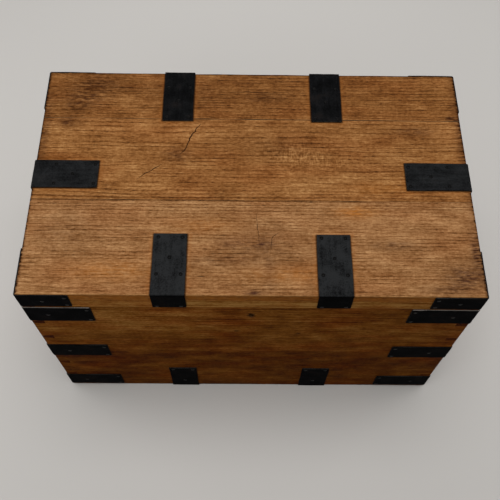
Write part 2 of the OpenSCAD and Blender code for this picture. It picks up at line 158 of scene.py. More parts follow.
@dataclass(frozen=True)
class Clouds:
    """Smooth random heights: a random value at each whole-number point, blended between the four
    nearest by the weight 3f^2 - 2f^3 of the distance f from each."""

    seed: int
    size: int = 64

    def at(self, u: Array, v: Array) -> Array:
        """Reads the heights.

        Args:
            u: First coordinate, one unit per random value.
            v: Second coordinate.

        Returns:
            Heights from -1 to 1, in the shape of u and v together.
        """
        heights = np.random.default_rng(self.seed).uniform(-1, 1, (self.size, self.size))
        column, row = np.floor(u).astype(int), np.floor(v).astype(int)
        across, up = u - column, v - row
        across, up = across * across * (3 - 2 * across), up * up * (3 - 2 * up)
        lower, upper = (
            heights[column % self.size, (row + step) % self.size] * (1 - across)
            + heights[(column + 1) % self.size, (row + step) % self.size] * across
            for step in (0, 1)
        )
        return lower * (1 - up) + upper * up


@dataclass
class Shell:
    """A closed surface: its points, its faces as arrays of point numbers, and values per point."""

    points: Array
    faces: list[Array]
    values: dict[str, Array] = field(default_factory=dict)

    @staticmethod
    def swept(loops: Array, values: dict[str, Array] | None = None) -> "Shell":
        """Skins a row of loops. Loop i and loop i + 1 are joined point by point with quads, and
        the first and last loops are closed with one flat face each. If the enclosed volume, the
        sum of a . (b x c) / 6 over its triangles, is negative, every face is turned round.

        Args:
            loops: Points in the shape (loops, points in a loop, 3).
            values: Values per point in the shape (loops, points in a loop).

        Returns:
            The closed surface, with its faces outwards.
        """
        count, around = loops.shape[:2]
        index = np.arange(count * around).reshape(count, around)
        after = np.roll(index, -1, axis=1)
        quads = np.stack([index[:-1], after[:-1], after[1:], index[1:]], axis=-1).reshape(-1, 4)
        faces = [quads, index[:1, ::-1], index[-1:]]
        points = loops.reshape(-1, 3)
        volume = 0.0
        for group in faces:
            for k in range(1, group.shape[1] - 1):
                a, b, c = (points[group[:, i]] for i in (0, k, k + 1))
                volume += np.einsum("ij,ij->", a, np.cross(b, c))
        if volume < 0:
            faces = [group[:, ::-1] for group in faces]
        flat = {name: np.asarray(v).reshape(count * around) for name, v in (values or {}).items()}
        return Shell(points, faces, flat)

    @staticmethod
    def joined(shells: "list[Shell]") -> "Shell":
        """Puts several surfaces into one.

        Args:
            shells: The surfaces. A value that one of them lacks is 0 there.

        Returns:
            The one surface.
        """
        starts = np.cumsum([0] + [len(s.points) for s in shells])
        names = sorted({name for s in shells for name in s.values})
        return Shell(
            np.concatenate([s.points for s in shells]),
            [group + start for s, start in zip(shells, starts) for group in s.faces],
            {n: np.concatenate([s.values.get(n, np.zeros(len(s.points))) for s in shells]) for n in names},
        )

    def to_object(self, name: str, material: Material) -> bpy.types.Object:
        """Makes the mesh object, smooth shaded, at the origin.

        Args:
            name: The piece's name.
            material: Its finish.

        Returns:
            The new object, linked to the scene.
        """
        mesh = bpy.data.meshes.new(name)
        corners = np.concatenate([group.ravel() for group in self.faces])
        totals = np.concatenate([np.full(len(g), g.shape[1]) for g in self.faces])
        mesh.vertices.add(len(self.points))
        mesh.vertices.foreach_set("co", self.points.astype(np.float32).ravel())
        mesh.loops.add(len(corners))
        mesh.loops.foreach_set("vertex_index", corners.astype(np.int32))
        mesh.polygons.add(len(totals))
        mesh.polygons.foreach_set("loop_start", (np.cumsum(totals) - totals).astype(np.int32))
        mesh.polygons.foreach_set("use_smooth", np.ones(len(totals), bool))
        mesh.update(calc_edges=True)
        mesh.validate()
        for key, value in self.values.items():
            attribute = mesh.attributes.new(key, "FLOAT", "POINT")
            attribute.data.foreach_set("value", value.astype(np.float32))
        mesh.materials.append(material)
        made = bpy.data.objects.new(name, mesh)
        bpy.context.scene.collection.objects.link(made)
        return made

    def take_place(self, node: str, ending: str, material: Material, body: str, slot: str) -> None:
        """Makes the surface a piece that stands in for a CAD node.

        Args:
            node: The CAD node's name, which starts the piece's name.
            ending: The end of the piece's name.
            material: Its finish.
            body: The body that it rides on.
            slot: Not used.
        """
        made = self.to_object(f"{node}_{ending}", material)
        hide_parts(node)
        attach(made, body)
        LOG.info("%s: %d points", made.name, len(made.data.vertices))


class ShaderGraph:
    """A material's or the world's node tree, filled one node at a time."""

    def __init__(self, owner: Material | bpy.types.World) -> None:
        """Empties the owner's node tree.

        Args:
            owner: The material or the world.
        """
        owner.use_nodes = True
        self.tree = owner.node_tree
        self.tree.nodes.clear()

    def add(
        self, kind: str, *values: object, named: dict[str, object] | None = None, **settings: object
    ) -> Node:
        """Adds a node with its settings, and fills its inputs. An input takes a value, a hex
        colour, a socket, or a node, which is linked from its first live output.

        Args:
            kind: The node's type without its "ShaderNode" start.
            *values: What goes into its live inputs, in their order.
            named: What goes into inputs by name.
            **settings: The node's own settings. stops fills a colour ramp.

        Returns:
            The new node.
        """
        node = self.tree.nodes.new("ShaderNode" + kind)
        for name, value in settings.items():
            if name == "stops":
                ramp = node.color_ramp.elements
                while len(ramp) < len(value):
                    ramp.new(0.5)
                for element, (position, colour) in zip(ramp, value):
                    element.position, element.color = position, linear(colour)
            else:
                setattr(node, name, value)
        live = [socket for socket in node.inputs if socket.enabled]
        by_name = [(node.inputs[name], value) for name, value in (named or {}).items()]
        for socket, value in (*zip(live, values), *by_name):
            if isinstance(value, Node):
                value = next(output for output in value.outputs if output.enabled)
            if isinstance(value, bpy.types.NodeSocket):
                self.tree.links.new(value, socket)
            else:
                socket.default_value = linear(value) if isinstance(value, str) else value
        return node


@dataclass(frozen=True)
class Board:
    """How one board was sawn and has aged."""

    node: str
    # Centre of the growth rings, across the board and through it, which sets how the lines run
    pith_mm: tuple[float, float]
    tone: float
    grain: Grain = Grain.ALONG_X
    faded: float = 0.0  # how far the top has greyed, which also paints its sheen


@dataclass(frozen=True)
class Spot:
    """A dark place in the wood, such as a knot or painted shade in a hole, or with a lift a lighter place,
    which on the front is painted light: its middle, its half sizes and its strength."""

    middle_mm: Place
    half_mm: Place
    strength: float = 1.0
    lift: float = 0.0  # how far the wood's tone rises

    @property
    def edge(self) -> float:
        """Where the spot starts to fade, in half sizes: a lighter place fades more slowly."""
        return 0.5 if self.lift else 1.1


# Oak from its dark pores to its light fibres: where light and wear never reached the stain, and where they
# have greyed it, which on the lid tops also paints the sheen of the wax
OAK_STEPS = (0.05, 0.3, 0.5, 0.7, 0.95)
DEEP_OAK = ("2f1606", "60320f", "814c15", "a06628", "c8924e")
FADED_OAK_AND_SHEEN = ("342012", "6a4321", "875b35", "a3764c", "c39466")
RED_STAIN = "9c6640"
END_GRAIN = "a08468"
UNSTAINED = "a58a66"
# dark knots, and painted shade in the keyhole's slot
KNOT_AND_KEYHOLE_SHADE = "1f0f06"
# painted pale halo of light on the wood beside the straps
PAINTED_HALO_BESIDE_IRON = "a8642a"
# dark of the cracks and joints, also painted shadow at the straps' edges
CRACK_AND_STRAP_SHADOW = "2e1a0c"
# Values on a lid board's mesh, with the colour that each lays on, how it blends, and its most
MARKS = (
    # painted shade along the lid's back edge and ends, and just under its front arris
    ("grime", "4a3524", "MULTIPLY", 0.9),
    ("stain", "7a6a7a", "MULTIPLY", 0.85),
    # golden patches on the top's front half and a lighter lid front face: partly golden wood, partly painted
    # light
    ("glow", "c07327", "MIX", 0.5),
    ("wear", "c69660", "MIX", 0.45),
)


@dataclass(frozen=True)
class WaxedOak:
    """Rift-sawn oak, stained honey brown and waxed. The eye gets long dark pore lines a few
    millimetres apart, cloudy light and dark patches, and a low soft sheen."""

    board: Board
    shift_mm: float  # along the grain, so that no two boards have the same figure
    marked: bool = False  # whether the mesh holds the board's own marks
    spots: tuple[Spot, ...] = ()
    dashes: float = 0.75  # how much short fibres show
    clouds: float = 0.45  # how much broad light and dark patches show
    reds: float = 0.2  # how much the redder patches of the stain show
    middle: float = 0.63  # tone of wood where every pattern is even
    ring_mm: float = 6.2  # one year's growth, of a fast grown tree
    # Length, width and reach of the waves that the growth rings follow
    waves_mm: tuple[Place, ...] = ((260.0, 60.0, 12.0), (70.0, 14.0, 1.8), (20.0, 4.0, 0.6))
    fibre_mm: float = 2.0  # fibre bundles are finer than this, and are drawn as wide as they show
    pore_mm: float = 0.7  # vessels are about 0.3 mm, drawn wider so that they show
    roughness: float = 0.44
    specular: float = 0.015

    def make(self) -> Material:
        """Makes the material: its colour from the wood's tone, its relief from fibres and pores.

        Returns:
            The new material.
        """
        material = bpy.data.materials.new(f"waxed_oak_{self.board.node}")
        g = OakNodes(material, self)
        lines = g.pore_lines()
        vessels = g.add("MapRange", g.streaks(9.0, self.pore_mm, 1.0), 0.54, 0.66)
        in_lines = g.add("Math", lines, 0.55, 0.45, operation="MULTIPLY_ADD")
        pores = g.add("Math", vessels, in_lines, operation="MULTIPLY")
        fibres = g.streaks(46.0, self.fibre_mm, 3.0)
        raw = g.inward()
        wood = g.colour(g.tone(fibres, lines, pores), raw)
        sheen = g.add("Math", pores, 0.25, self.roughness, operation="MULTIPLY_ADD")
        sheen = g.add("Math", raw, 0.3, sheen, operation="MULTIPLY_ADD")
        height = g.add("Math", lines, -0.35, fibres, operation="MULTIPLY_ADD")
        height = g.add("Math", pores, -0.8, height, operation="MULTIPLY_ADD")
        bump = g.add("Bump", named={"Height": height, "Strength": 0.5, "Distance": 0.3 * MM})
        surface = {"Base Color": wood, "Roughness": sheen, "IOR": 1.45, "Normal": bump}
        shader = g.add("BsdfPrincipled", named={**surface, "Specular IOR Level": self.specular})
        g.add("OutputMaterial", shader)
        return material


class OakNodes(ShaderGraph):
    """The nodes of one oak material, with patterns laid out along, across and through the board
    in millimetres."""

    def __init__(self, material: Material, oak: WaxedOak) -> None:
        """Starts the material with its coordinates, turned so that the grain runs along X.

        Args:
            material: The material to fill.
            oak: Its wood.
        """
        super().__init__(material)
        self.oak = oak
        self.place = self.add("TexCoord")
        turn = (0.0, 0.0, oak.board.grain.value)
        shift = (oak.shift_mm, 0.0, 0.0)
        self.board = self.add("Mapping", self.place.outputs["Object"], shift, turn, (1 / MM,) * 3)

    def streaks(self, long_mm: float, wide_mm: float, detail: float = 2.0) -> Node:
        """Adds soft streaks along the grain.

        Args:
            long_mm: Length of a streak.
            wide_mm: Width of a streak.
            detail: Octaves of finer streaks.

        Returns:
            The noise node, 0 to 1.
        """
        size = (1 / long_mm, 1 / wide_mm, 1 / wide_mm)
        shrunk = self.add("VectorMath", self.board, size, operation="MULTIPLY")
        return self.add("TexNoise", shrunk, 1.0, detail, 0.55)

    def pore_lines(self) -> Node:
        """Adds the pore lines: the distance from the pith, wandered by long noise, is cut into
        years, and each year starts dark and fades over its first part. The lines are strong in
        one place and faint in another.

        Returns:
            The node that is 1 on the strongest line and 0 between lines.
        """
        from_pith = self.add("VectorMath", self.board, (0.0, *self.oak.board.pith_mm), operation="SUBTRACT")
        flat = self.add("VectorMath", from_pith, (0.0, 1.0, 1.0), operation="MULTIPLY")
        radius = self.add("VectorMath", flat, operation="LENGTH")
        for long_mm, wide_mm, reach_mm in self.oak.waves_mm:
            wander = self.streaks(long_mm, wide_mm)
            radius = self.add("Math", wander, reach_mm, radius, operation="MULTIPLY_ADD")
        year = self.add("Math", radius, self.oak.ring_mm, operation="DIVIDE")
        uneven = self.add("TexNoise", year, 0.37, 1.0, noise_dimensions="1D")
        year = self.add("Math", uneven, 0.8, year, operation="MULTIPLY_ADD")
        part = self.add("Math", year, operation="FRACT")
        lines = self.add("MapRange", part, 0.0, 0.4, 1.0, 0.0, interpolation_type="SMOOTHSTEP")
        strength = self.add("MapRange", self.streaks(90.0, 18.0), 0.4, 0.62, 0.12, 0.8)
        if self.oak.marked:
            lined = self.add("Attribute", attribute_name="lined").outputs["Fac"]
            strength = self.add("Math", strength, lined, operation="MAXIMUM")
        return self.add("Math", lines, strength, operation="MULTIPLY")

    def tone(self, fibres: Node, lines: Node, pores: Node) -> Node:
        """Adds the wood's tone: patterns weighted about their middle, less lines and pores, with
        ray flecks, short marks across the grain, where the mesh asks for them.

        Args:
            fibres: The fibres' pattern.
            lines: The pore lines.
            pores: The pores.

        Returns:
            The node with the tone, 0 dark and 1 light.
        """
        oak = self.oak
        patterns = (
            (fibres, 0.55),
            (self.streaks(7.0, 2.2, 4.0), oak.dashes),
            (self.streaks(120.0, 9.0), 0.2),
            (self.streaks(45.0, 26.0), oak.clouds),
            (self.streaks(230.0, 90.0, 1.0), 0.25),
        )
        tone = oak.middle + oak.board.tone - sum(weight for _, weight in patterns) / 2
        parts = [*patterns, (lines, -0.4), (pores, -0.45)]
        if oak.marked:
            flecks = self.add("MapRange", self.streaks(2.6, 9.0, 1.0), 0.35, 0.65, -0.1, 0.2)
            parts.append((flecks, self.add("Attribute", attribute_name="fleck").outputs["Fac"]))
        # lighter spots: on the front board, painted light where more light falls on its upper left
        parts += [(self.cover(spot), spot.lift) for spot in oak.spots if spot.lift]
        for pattern, weight in parts:
            tone = self.add("Math", pattern, weight, tone, operation="MULTIPLY_ADD")
        return tone

    def colour(self, tone: Node, raw: Node) -> Node:
        """Adds the wood's colour: the stain by its tone, greyed where a marked board looks up, which also
        paints the sheen there, with redder patches and the marks over it, darker end grain, a barer inside,
        and dark spots: knots and painted shade in the keyhole.

        Args:
            tone: The wood's tone.
            raw: 1 where the wood was never stained.

        Returns:
            The node with the colour.
        """
        oak = self.oak
        wood = self.add("ValToRGB", tone, stops=list(zip(OAK_STEPS, DEEP_OAK)))
        # Faces that look up take the faded ramp: real greying, and painted sheen where the wax would catch
        # the light
        if oak.marked:
            faded = self.add("ValToRGB", tone, stops=list(zip(OAK_STEPS, FADED_OAK_AND_SHEEN)))
            up = self.add("SeparateXYZ", self.place.outputs["Normal"]).outputs["Z"]
            up = self.add("MapRange", up, 0.3, 0.9, 0.0, oak.board.faded)
            wood = self.add("Mix", up, wood, faded, data_type="RGBA")
        reds = self.add("MapRange", self.streaks(120.0, 40.0), 0.42, 0.68, 0.0, oak.reds)
        wood = self.add("Mix", reds, wood, RED_STAIN, data_type="RGBA", blend_type="SOFT_LIGHT")
        if oak.marked:
            wood = self.marks(wood)
        wood = self.add("Mix", self.end_grain(), wood, END_GRAIN, data_type="RGBA", blend_type="MULTIPLY")
        bare = self.add("Mix", 0.4, wood, UNSTAINED, data_type="RGBA")
        wood = self.add("Mix", raw, wood, bare, data_type="RGBA")
        for spot in oak.spots:
            if not spot.lift:
                wood = self.add("Mix", self.cover(spot), wood, KNOT_AND_KEYHOLE_SHADE, data_type="RGBA")
        return wood

    def marks(self, wood: Node) -> Node:
        """Lays a board's own stains, golden patches that are partly painted light, painted shade along its
        edges, a painted pale halo beside the straps with painted shadow right at their edges, the worn arris
        and the cracks over its colour. Each comes from a value on the mesh, and noise breaks up its edge.

        Args:
            wood: The wood's colour.

        Returns:
            The node with the marked colour.
        """
        breakup = self.add("MapRange", self.streaks(14.0, 4.0, 3.0), 0.36, 0.64, 0.35, 1.4)
        iron = self.add("Attribute", attribute_name="iron_mm").outputs["Fac"]
        # painted pale halo of light on the wood a few millimetres from the straps
        beside = self.add("MapRange", iron, 2.0, 11.0, 0.2, 0.0, interpolation_type="SMOOTHSTEP")
        beside = self.add("Math", beside, breakup, operation="MULTIPLY")
        wood = self.add("Mix", beside, wood, PAINTED_HALO_BESIDE_IRON, data_type="RGBA")
        for key, colour, mode, most in MARKS:
            value = self.add("Attribute", attribute_name=key).outputs["Fac"]
            amount = self.add("Math", value, most, operation="MULTIPLY")
            amount = self.add("Math", amount, breakup, operation="MULTIPLY")
            wood = self.add("Mix", amount, wood, colour, data_type="RGBA", blend_type=mode)
        away = self.add("Attribute", attribute_name="crack_mm").outputs["Fac"]
        away = self.add("Math", away, operation="ABSOLUTE")
        width = self.add("Attribute", attribute_name="crack_open_mm").outputs["Fac"]
        inside = self.add("Math", width, away, operation="SUBTRACT")
        # painted shadow on the wood right at the straps' edges, in the cracks' colour
        under = self.add("MapRange", iron, 0.6, 2.4, 0.75, 0.0)
        dark = self.add("Math", self.add("MapRange", inside, -0.2, 0.5), under, operation="MAXIMUM")
        return self.add("Mix", dark, wood, CRACK_AND_STRAP_SHADOW, data_type="RGBA")

    def cover(self, spot: Spot) -> Node:
        """Adds a spot's mask: the distance from its middle in half sizes, with an edge that noise
        breaks up.

        Args:
            spot: The spot.

        Returns:
            The node that gives the spot's strength at its middle and 0 outside it.
        """
        middle = tuple(c * MM for c in spot.middle_mm)
        size = tuple(1 / (r * MM) for r in spot.half_mm)
        away = self.add("VectorMath", self.place.outputs["Object"], middle, operation="SUBTRACT")
        away = self.add("VectorMath", away, size, operation="MULTIPLY")
        away = self.add("VectorMath", away, operation="LENGTH")
        away = self.add("Math", self.streaks(6.0, 2.5), 1.4, away, operation="MULTIPLY_ADD")
        fade = (spot.edge, 1.8, spot.strength, 0.0)
        return self.add("MapRange", away, *fade, interpolation_type="SMOOTHSTEP")

    def end_grain(self) -> Node:
        """Adds a mask from the size of the normal's part along the grain.

        Returns:
            The node that is 1 where the face cuts across the grain.
        """
        along = X if self.oak.board.grain is Grain.ALONG_X else Y
        facing = self.add("VectorMath", self.place.outputs["Normal"], tuple(along), operation="DOT_PRODUCT")
        facing = self.add("Math", facing, operation="ABSOLUTE")
        return self.add("MapRange", facing, 0.5, 0.9)

    def inward(self) -> Node:
        """Adds a mask of the faces that look into the chest: those whose normal points towards
        the middle of the box, just under the lid boards.

        Returns:
            The node that is 1 on those faces.
        """
        low, high = node_box("lid_rail_left")
        middle = (0.0, float(low[1] + high[1]) / 2, float(low[2] + high[2]) / 2)
        outward = self.add("VectorMath", self.place.outputs["Object"], middle, operation="SUBTRACT")
        facing = self.add("VectorMath", outward, self.place.outputs["Normal"], operation="DOT_PRODUCT")
        return self.add("Math", facing, -1 * MM, operation="LESS_THAN")


@dataclass(frozen=True)
class BlackIron:
    """Wrought iron bar with a dull black coat. The eye gets charcoal with faint streaks along the
    bar, small pits, a thin rubbed edge and a breath of brown rust."""

    name: str
    dark: str = "040404"
    coat: str = "0a0a0b"
    light: str = "18181a"
    rubbed: str = "3a3835"
    rust: str = "1a110b"
    dust: str = "2b2c2d"  # dust on the faces that look up, with painted sheen there for the light they reflect
    dusty: float = 1.0
    dust_from: float = 0.6
    roughness: float = 0.66
    specular: float = 0.006
    pit_mm: float = 2.2
    patch_mm: float = 28.0
    streak_mm: tuple[float, float] = (70.0, 5.0)

    def make(self) -> Material:
        """Makes the material: pits, patches and streaks add up to its tone, then rust, the rubbed rim, and
        dust with painted sheen lie over its colour.

        Returns:
            The new material.
        """
        material = bpy.data.materials.new(self.name)
        g = ShaderGraph(material)
        place = g.add("TexCoord")
        pits = g.add("TexNoise", place.outputs["Object"], 1 / (self.pit_mm * MM), 3.0)
        patches = g.add("TexNoise", place.outputs["Object"], 1 / (self.patch_mm * MM), 3.0)
        along = g.add("Attribute", attribute_name="along_mm").outputs["Fac"]
        across = g.add("Attribute", attribute_name="across_mm").outputs["Fac"]
        size = (1 / self.streak_mm[0], 1 / self.streak_mm[1], 0.0)
        on_bar = g.add("VectorMath", g.add("CombineXYZ", along, across), size, operation="MULTIPLY")
        drawn = g.add("TexNoise", on_bar, 1.0, 2.0)
        tone = g.add("Math", drawn, 0.3, operation="MULTIPLY")
        tone = g.add("Math", pits, 0.5, tone, operation="MULTIPLY_ADD")
        tone = g.add("Math", patches, 0.55, tone, operation="MULTIPLY_ADD")
        iron = g.add("ValToRGB", tone, stops=[(0.475, self.dark), (0.675, self.coat), (0.875, self.light)])
        rusty = g.add("MapRange", patches, 0.56, 0.74, 0.0, 0.5)
        rim = g.add("Attribute", attribute_name="rim").outputs["Fac"]
        rim = g.add("Math", rim, pits, operation="MULTIPLY")
        rim = g.add("MapRange", rim, 0.3, 0.62, 0.0, 0.8)
        # dust and painted sheen on the faces that look up
        up = g.add("SeparateXYZ", place.outputs["Normal"]).outputs["Z"]
        up = g.add("MapRange", up, self.dust_from, 0.98, 0.0, self.dusty)
        spread = g.add("MapRange", tone, 0.505, 0.845, 0.2, 1.9)
        dusty = g.add("Math", up, spread, operation="MULTIPLY")
        for amount, colour in ((rusty, self.rust), (rim, self.rubbed), (dusty, self.dust)):
            iron = g.add("Mix", amount, iron, colour, data_type="RGBA")
        gloss = g.add("MapRange", drawn, 0.3, 0.7, self.roughness - 0.06, self.roughness + 0.1)
        height = g.add("Math", pits, 0.6, patches, operation="MULTIPLY_ADD")
        bump = g.add("Bump", named={"Height": height, "Strength": 0.35, "Distance": 0.5 * MM})
        surface = {"Base Color": iron, "Roughness": gloss, "Normal": bump}
        shader = g.add("BsdfPrincipled", named={**surface, "Specular IOR Level": self.specular})
        g.add("OutputMaterial", shader)
        return material


def plain_sight(graph: ShaderGraph) -> Node:
    """Adds a value for the way that light reaches the eye.

    Args:
        graph: The nodes to add it to.

    Returns:
        The node that is 1 for what is seen directly, in a reflection or through glass, and 0 for
        the light that a surface throws on its neighbours.
    """
    ray = graph.add("LightPath")
    seen = ray.outputs["Is Camera Ray"]
    for kind in ("Is Glossy Ray", "Is Transmission Ray"):
        seen = graph.add("Math", seen, ray.outputs[kind], operation="MAXIMUM")
    return seen


@dataclass(frozen=True)
class PaleFloor:
    """Plain matt studio floor: pale warm grey where it is seen, darker in the light it throws on
    its neighbours."""

    name: str = "plain_matt_floor"
    seen: str = "c4c1bd"
    far: str = "e6e4e0"
    thrown: str = "767472"
    near_m: float = 1.2
    far_m: float = 5.0

    def make(self) -> Material:
        """Makes the material, which grows paler with the distance from the chest.

        Returns:
            The new material.
        """
        material = bpy.data.materials.new(self.name)
        g = ShaderGraph(material)
        away = g.add("VectorMath", g.add("TexCoord").outputs["Object"], operation="LENGTH")
        away = g.add("MapRange", away, self.near_m, self.far_m, interpolation_type="SMOOTHSTEP")
        seen = g.add("Mix", away, self.seen, self.far, data_type="RGBA")
        colour = g.add("Mix", plain_sight(g), self.thrown, seen, data_type="RGBA")
        g.add("OutputMaterial", g.add("BsdfDiffuse", colour))
        return material


def turned(profile: list[tuple[float, float]], origin: Array, axis: Array, segments: int) -> Shell:
    """A turned shape: each profile point, a distance along the axis and a radius, becomes a
    circle of points round the axis, and neighbouring circles are joined.

    Args:
        profile: Distances and radii.
        origin: Where the distance along the axis is 0.
        axis: Unit vector along an axis of the frame.
        segments: Points in a circle.

    Returns:
        The closed surface.
    """
    first = np.roll(np.abs(axis), 1)
    second = np.cross(axis, first)
    angle = np.arange(segments) * 2 * math.pi / segments
    circle = np.outer(np.cos(angle), first) + np.outer(np.sin(angle), second)
    distance, radius = np.array(profile).T[..., None, None]
    return Shell.swept(origin + distance * axis + radius * circle)


def plate(start: Array, run: Array, length: float, width: Array, thick: Array, soft: float) -> Shell:
    """A flat plate: a rounded rectangle carried in a straight line and drawn in at both ends by a
    quarter circle, with its face sunk by smooth random heights.

    Args:
        start: Middle of the near end, on the wood.
        run: Unit vector along the plate.
        length: Length along run.
        width: Vector across the whole width.
        thick: Vector from the wood to the outer face.
        soft: Radius of the edges.

    Returns:
        The closed surface.
    """
    half, depth = np.linalg.norm(width) / 2, np.linalg.norm(thick)
    inner = np.linspace(soft, length - soft, max(2, int(length / PLATE_STEP)))[1:-1]
    along = np.concatenate([eased(soft), inner, (length - eased(soft))[::-1]])
    turn = np.linspace(0, QUARTER, 4)
    quarter = np.stack([soft * np.cos(turn), soft * np.sin(turn)], 1)
    face = np.linspace(half - soft, soft - half, max(4, int(2 * half / BAR_STEP)))[1:-1]
    outline = []
    for k, (a, b) in enumerate(((1, 1), (-1, 1), (-1, -1), (1, -1))):
        corner = (quarter * (a, b))[:: -1 if k % 2 else 1]
        outline.append(corner + (a * (half - soft), b * (depth / 2 - soft)))
        if k % 2 == 0:
            outline.append(np.stack([a * face, np.full(len(face), b * depth / 2)], 1))
    side, height = np.concatenate(outline).T[:, None]
    from_end = np.minimum(along, length - along)[:, None]
    drawn = quarter_round(from_end, soft)
    across = side * (1 - drawn / half)
    up = depth / 2 + height * (1 - 2 * drawn / depth)
    hammered = Clouds(17).at(along[:, None] / DINT_WIDE + 40, across / DINT_WIDE + 30)
    up = up - PLATE_DINT * (1 + hammered) * np.clip(up / depth, 0, 1)
    points = start + along[:, None, None] * run
    points = points + across[..., None] * width / (2 * half) + up[..., None] * thick / depth
    values = {
        "along_mm": np.broadcast_to(along[:, None] / MM, across.shape),
        "across_mm": across / MM,
        "rim": near(np.minimum(half - np.abs(across), from_end), RUBBED_RIM),
    }
    return Shell.swept(points, values)


@dataclass
class FlatBar:
    """A flat iron bar laid on wood, bent once round an edge. Its inner face lies on the wood, its
    long edges are a little wavy, its face slightly hammered, its corners soft."""

    corner: Array
    first: Array
    second: Array
    first_len: float
    second_len: float
    width: float
    thick: float
    seed: int
    soft: float = 0.6 * MM
    inner_bend: float = 1.2 * MM
    corner_round: float = 1.6 * MM
    wave_long: float = 30 * MM
    wave_deep: float = 0.9 * MM
    dint_deep: float = 0.14 * MM

    @property
    def across(self) -> Array:
        """Unit vector across the bar."""
        return np.cross(self.first, self.second)

    def stations(self) -> tuple[Array, Array, Array]:
        """Walks the inner face from the end of the first leg round the bend to the other end.
        On a leg the place is corner + distance * leg direction. On the bend it is the bend's
        centre + radius * outward normal, which turns from -second to -first.

        Returns:
            Places, outward normals and distances along the bar.
        """
        legs = []
        for length in (self.first_len, self.second_len):
            inner = np.linspace(length - self.soft, self.inner_bend, max(2, int(length / BAR_STEP)))
            legs.append(np.concatenate([length - eased(self.soft)[:-1], inner]))
        turn = np.linspace(0, QUARTER, 7)[1:-1, None]
        centre = self.corner + self.inner_bend * (self.first + self.second)
        normals = [
            np.repeat(-self.second[None], len(legs[0]), 0),
            -np.cos(turn) * self.second - np.sin(turn) * self.first,
            np.repeat(-self.first[None], len(legs[1]), 0),
        ]
        places = [
            self.corner + legs[0][:, None] * self.first,
            centre + self.inner_bend * normals[1],
            self.corner + legs[1][::-1, None] * self.second,
        ]
        along = [-legs[0], self.inner_bend * turn[:, 0] - self.inner_bend, legs[1][::-1]]
        return np.concatenate(places), np.concatenate(normals), np.concatenate(along)

    def build(self) -> Shell:
        """Carries a rounded rectangle along the stations. Smooth random heights draw in its long
        edges and sink its face, and quarter circles round off its ends.

        Returns:
            The bar's closed surface, with its own coordinates and its rim as values.
        """
        places, normals, along = self.stations()
        half, thick, soft = self.width / 2, self.thick, self.soft
        side, high = half - soft, thick - soft
        face = np.linspace(-1, 1, int(self.width / BAR_STEP) + 1) * side
        back = np.linspace(side, -side, 5)
        bend = np.linspace(0, QUARTER, 4)[1:-1]
        out, up = soft * np.sin(bend), soft * np.cos(bend)
        sideways = [face, side + out, [half, half], side + out[::-1]]
        sideways += [back, -side - out, [-half, -half], -side - out[::-1]]
        height = [np.full(len(face), thick), high + up, [high, soft], soft - up[::-1]]
        height += [np.zeros(len(back)), soft - up, [soft, high], high + up[::-1]]
        sideways, height = np.concatenate(sideways)[None], np.concatenate(height)[None]
        from_end = np.minimum(along - along.min(), along.max() - along)[:, None]
        edge = quarter_round(from_end, soft)
        plan = np.maximum(quarter_round(from_end, self.corner_round), edge)
        wave = Clouds(self.seed)
        wobble = (1 + wave.at(along[:, None] / self.wave_long, np.sign(sideways) * 3 + 9)) / 2
        sideways = sideways * (1 - plan / half) - np.sign(sideways) * self.wave_deep * wobble
        height = thick / 2 + (height - thick / 2) * (1 - 2 * edge / thick)
        hammered = 1 + wave.at(along[:, None] / DINT_WIDE, sideways / DINT_WIDE + 30)
        height = height - self.dint_deep * hammered * np.clip(height / thick, 0, 1)
        points = places[:, None] + height[..., None] * normals[:, None] + sideways[..., None] * self.across
        values = {
            "along_mm": np.broadcast_to(along[:, None] / MM, sideways.shape),
            "across_mm": sideways / MM,
            "rim": near(np.minimum(half - np.abs(sideways), from_end), RUBBED_RIM),
        }
        return Shell.swept(points, values)

    def place(self, leg: Array, distance: float, sideways: float) -> tuple[Array, Array]:
        """Gives a point on a leg's outer face, by its distance past the bend, and the normal."""
        normal = -self.second if leg is self.first else -self.first
        return self.corner + distance * leg + sideways * self.across + self.thick * normal, normal


class NailPattern(Enum):
    """Where the nails of a leg stand, from its end, as CAD sets them: two near the end, then one
    in the middle and two further in, or fewer."""

    TWO = "two"
    SHORT = "short"
    THREE = "three"
    FIVE = "five"

    def spots(self, length: float, width: float) -> list[tuple[float, float]]:
        """Gives the nails of a leg.

        Args:
            length: Length of the leg.
            width: Width of the leg.

        Returns:
            Distance from the bend and distance from the centre line, for each nail.
        """
        out = width / 2 - NAIL_SIDE_INSET
        middle, inner = length - NAIL_MIDDLE_INSET, length - NAIL_INNER_INSET
        further = {
            NailPattern.TWO: [],
            NailPattern.SHORT: [(middle, 0.0)],
            NailPattern.THREE: [(inner, 0.0)],
            NailPattern.FIVE: [(middle, 0.0), (inner, -out), (inner, out)],
        }
        return [(length - NAIL_END_INSET, s * out) for s in (-1, 1)] + further[self]


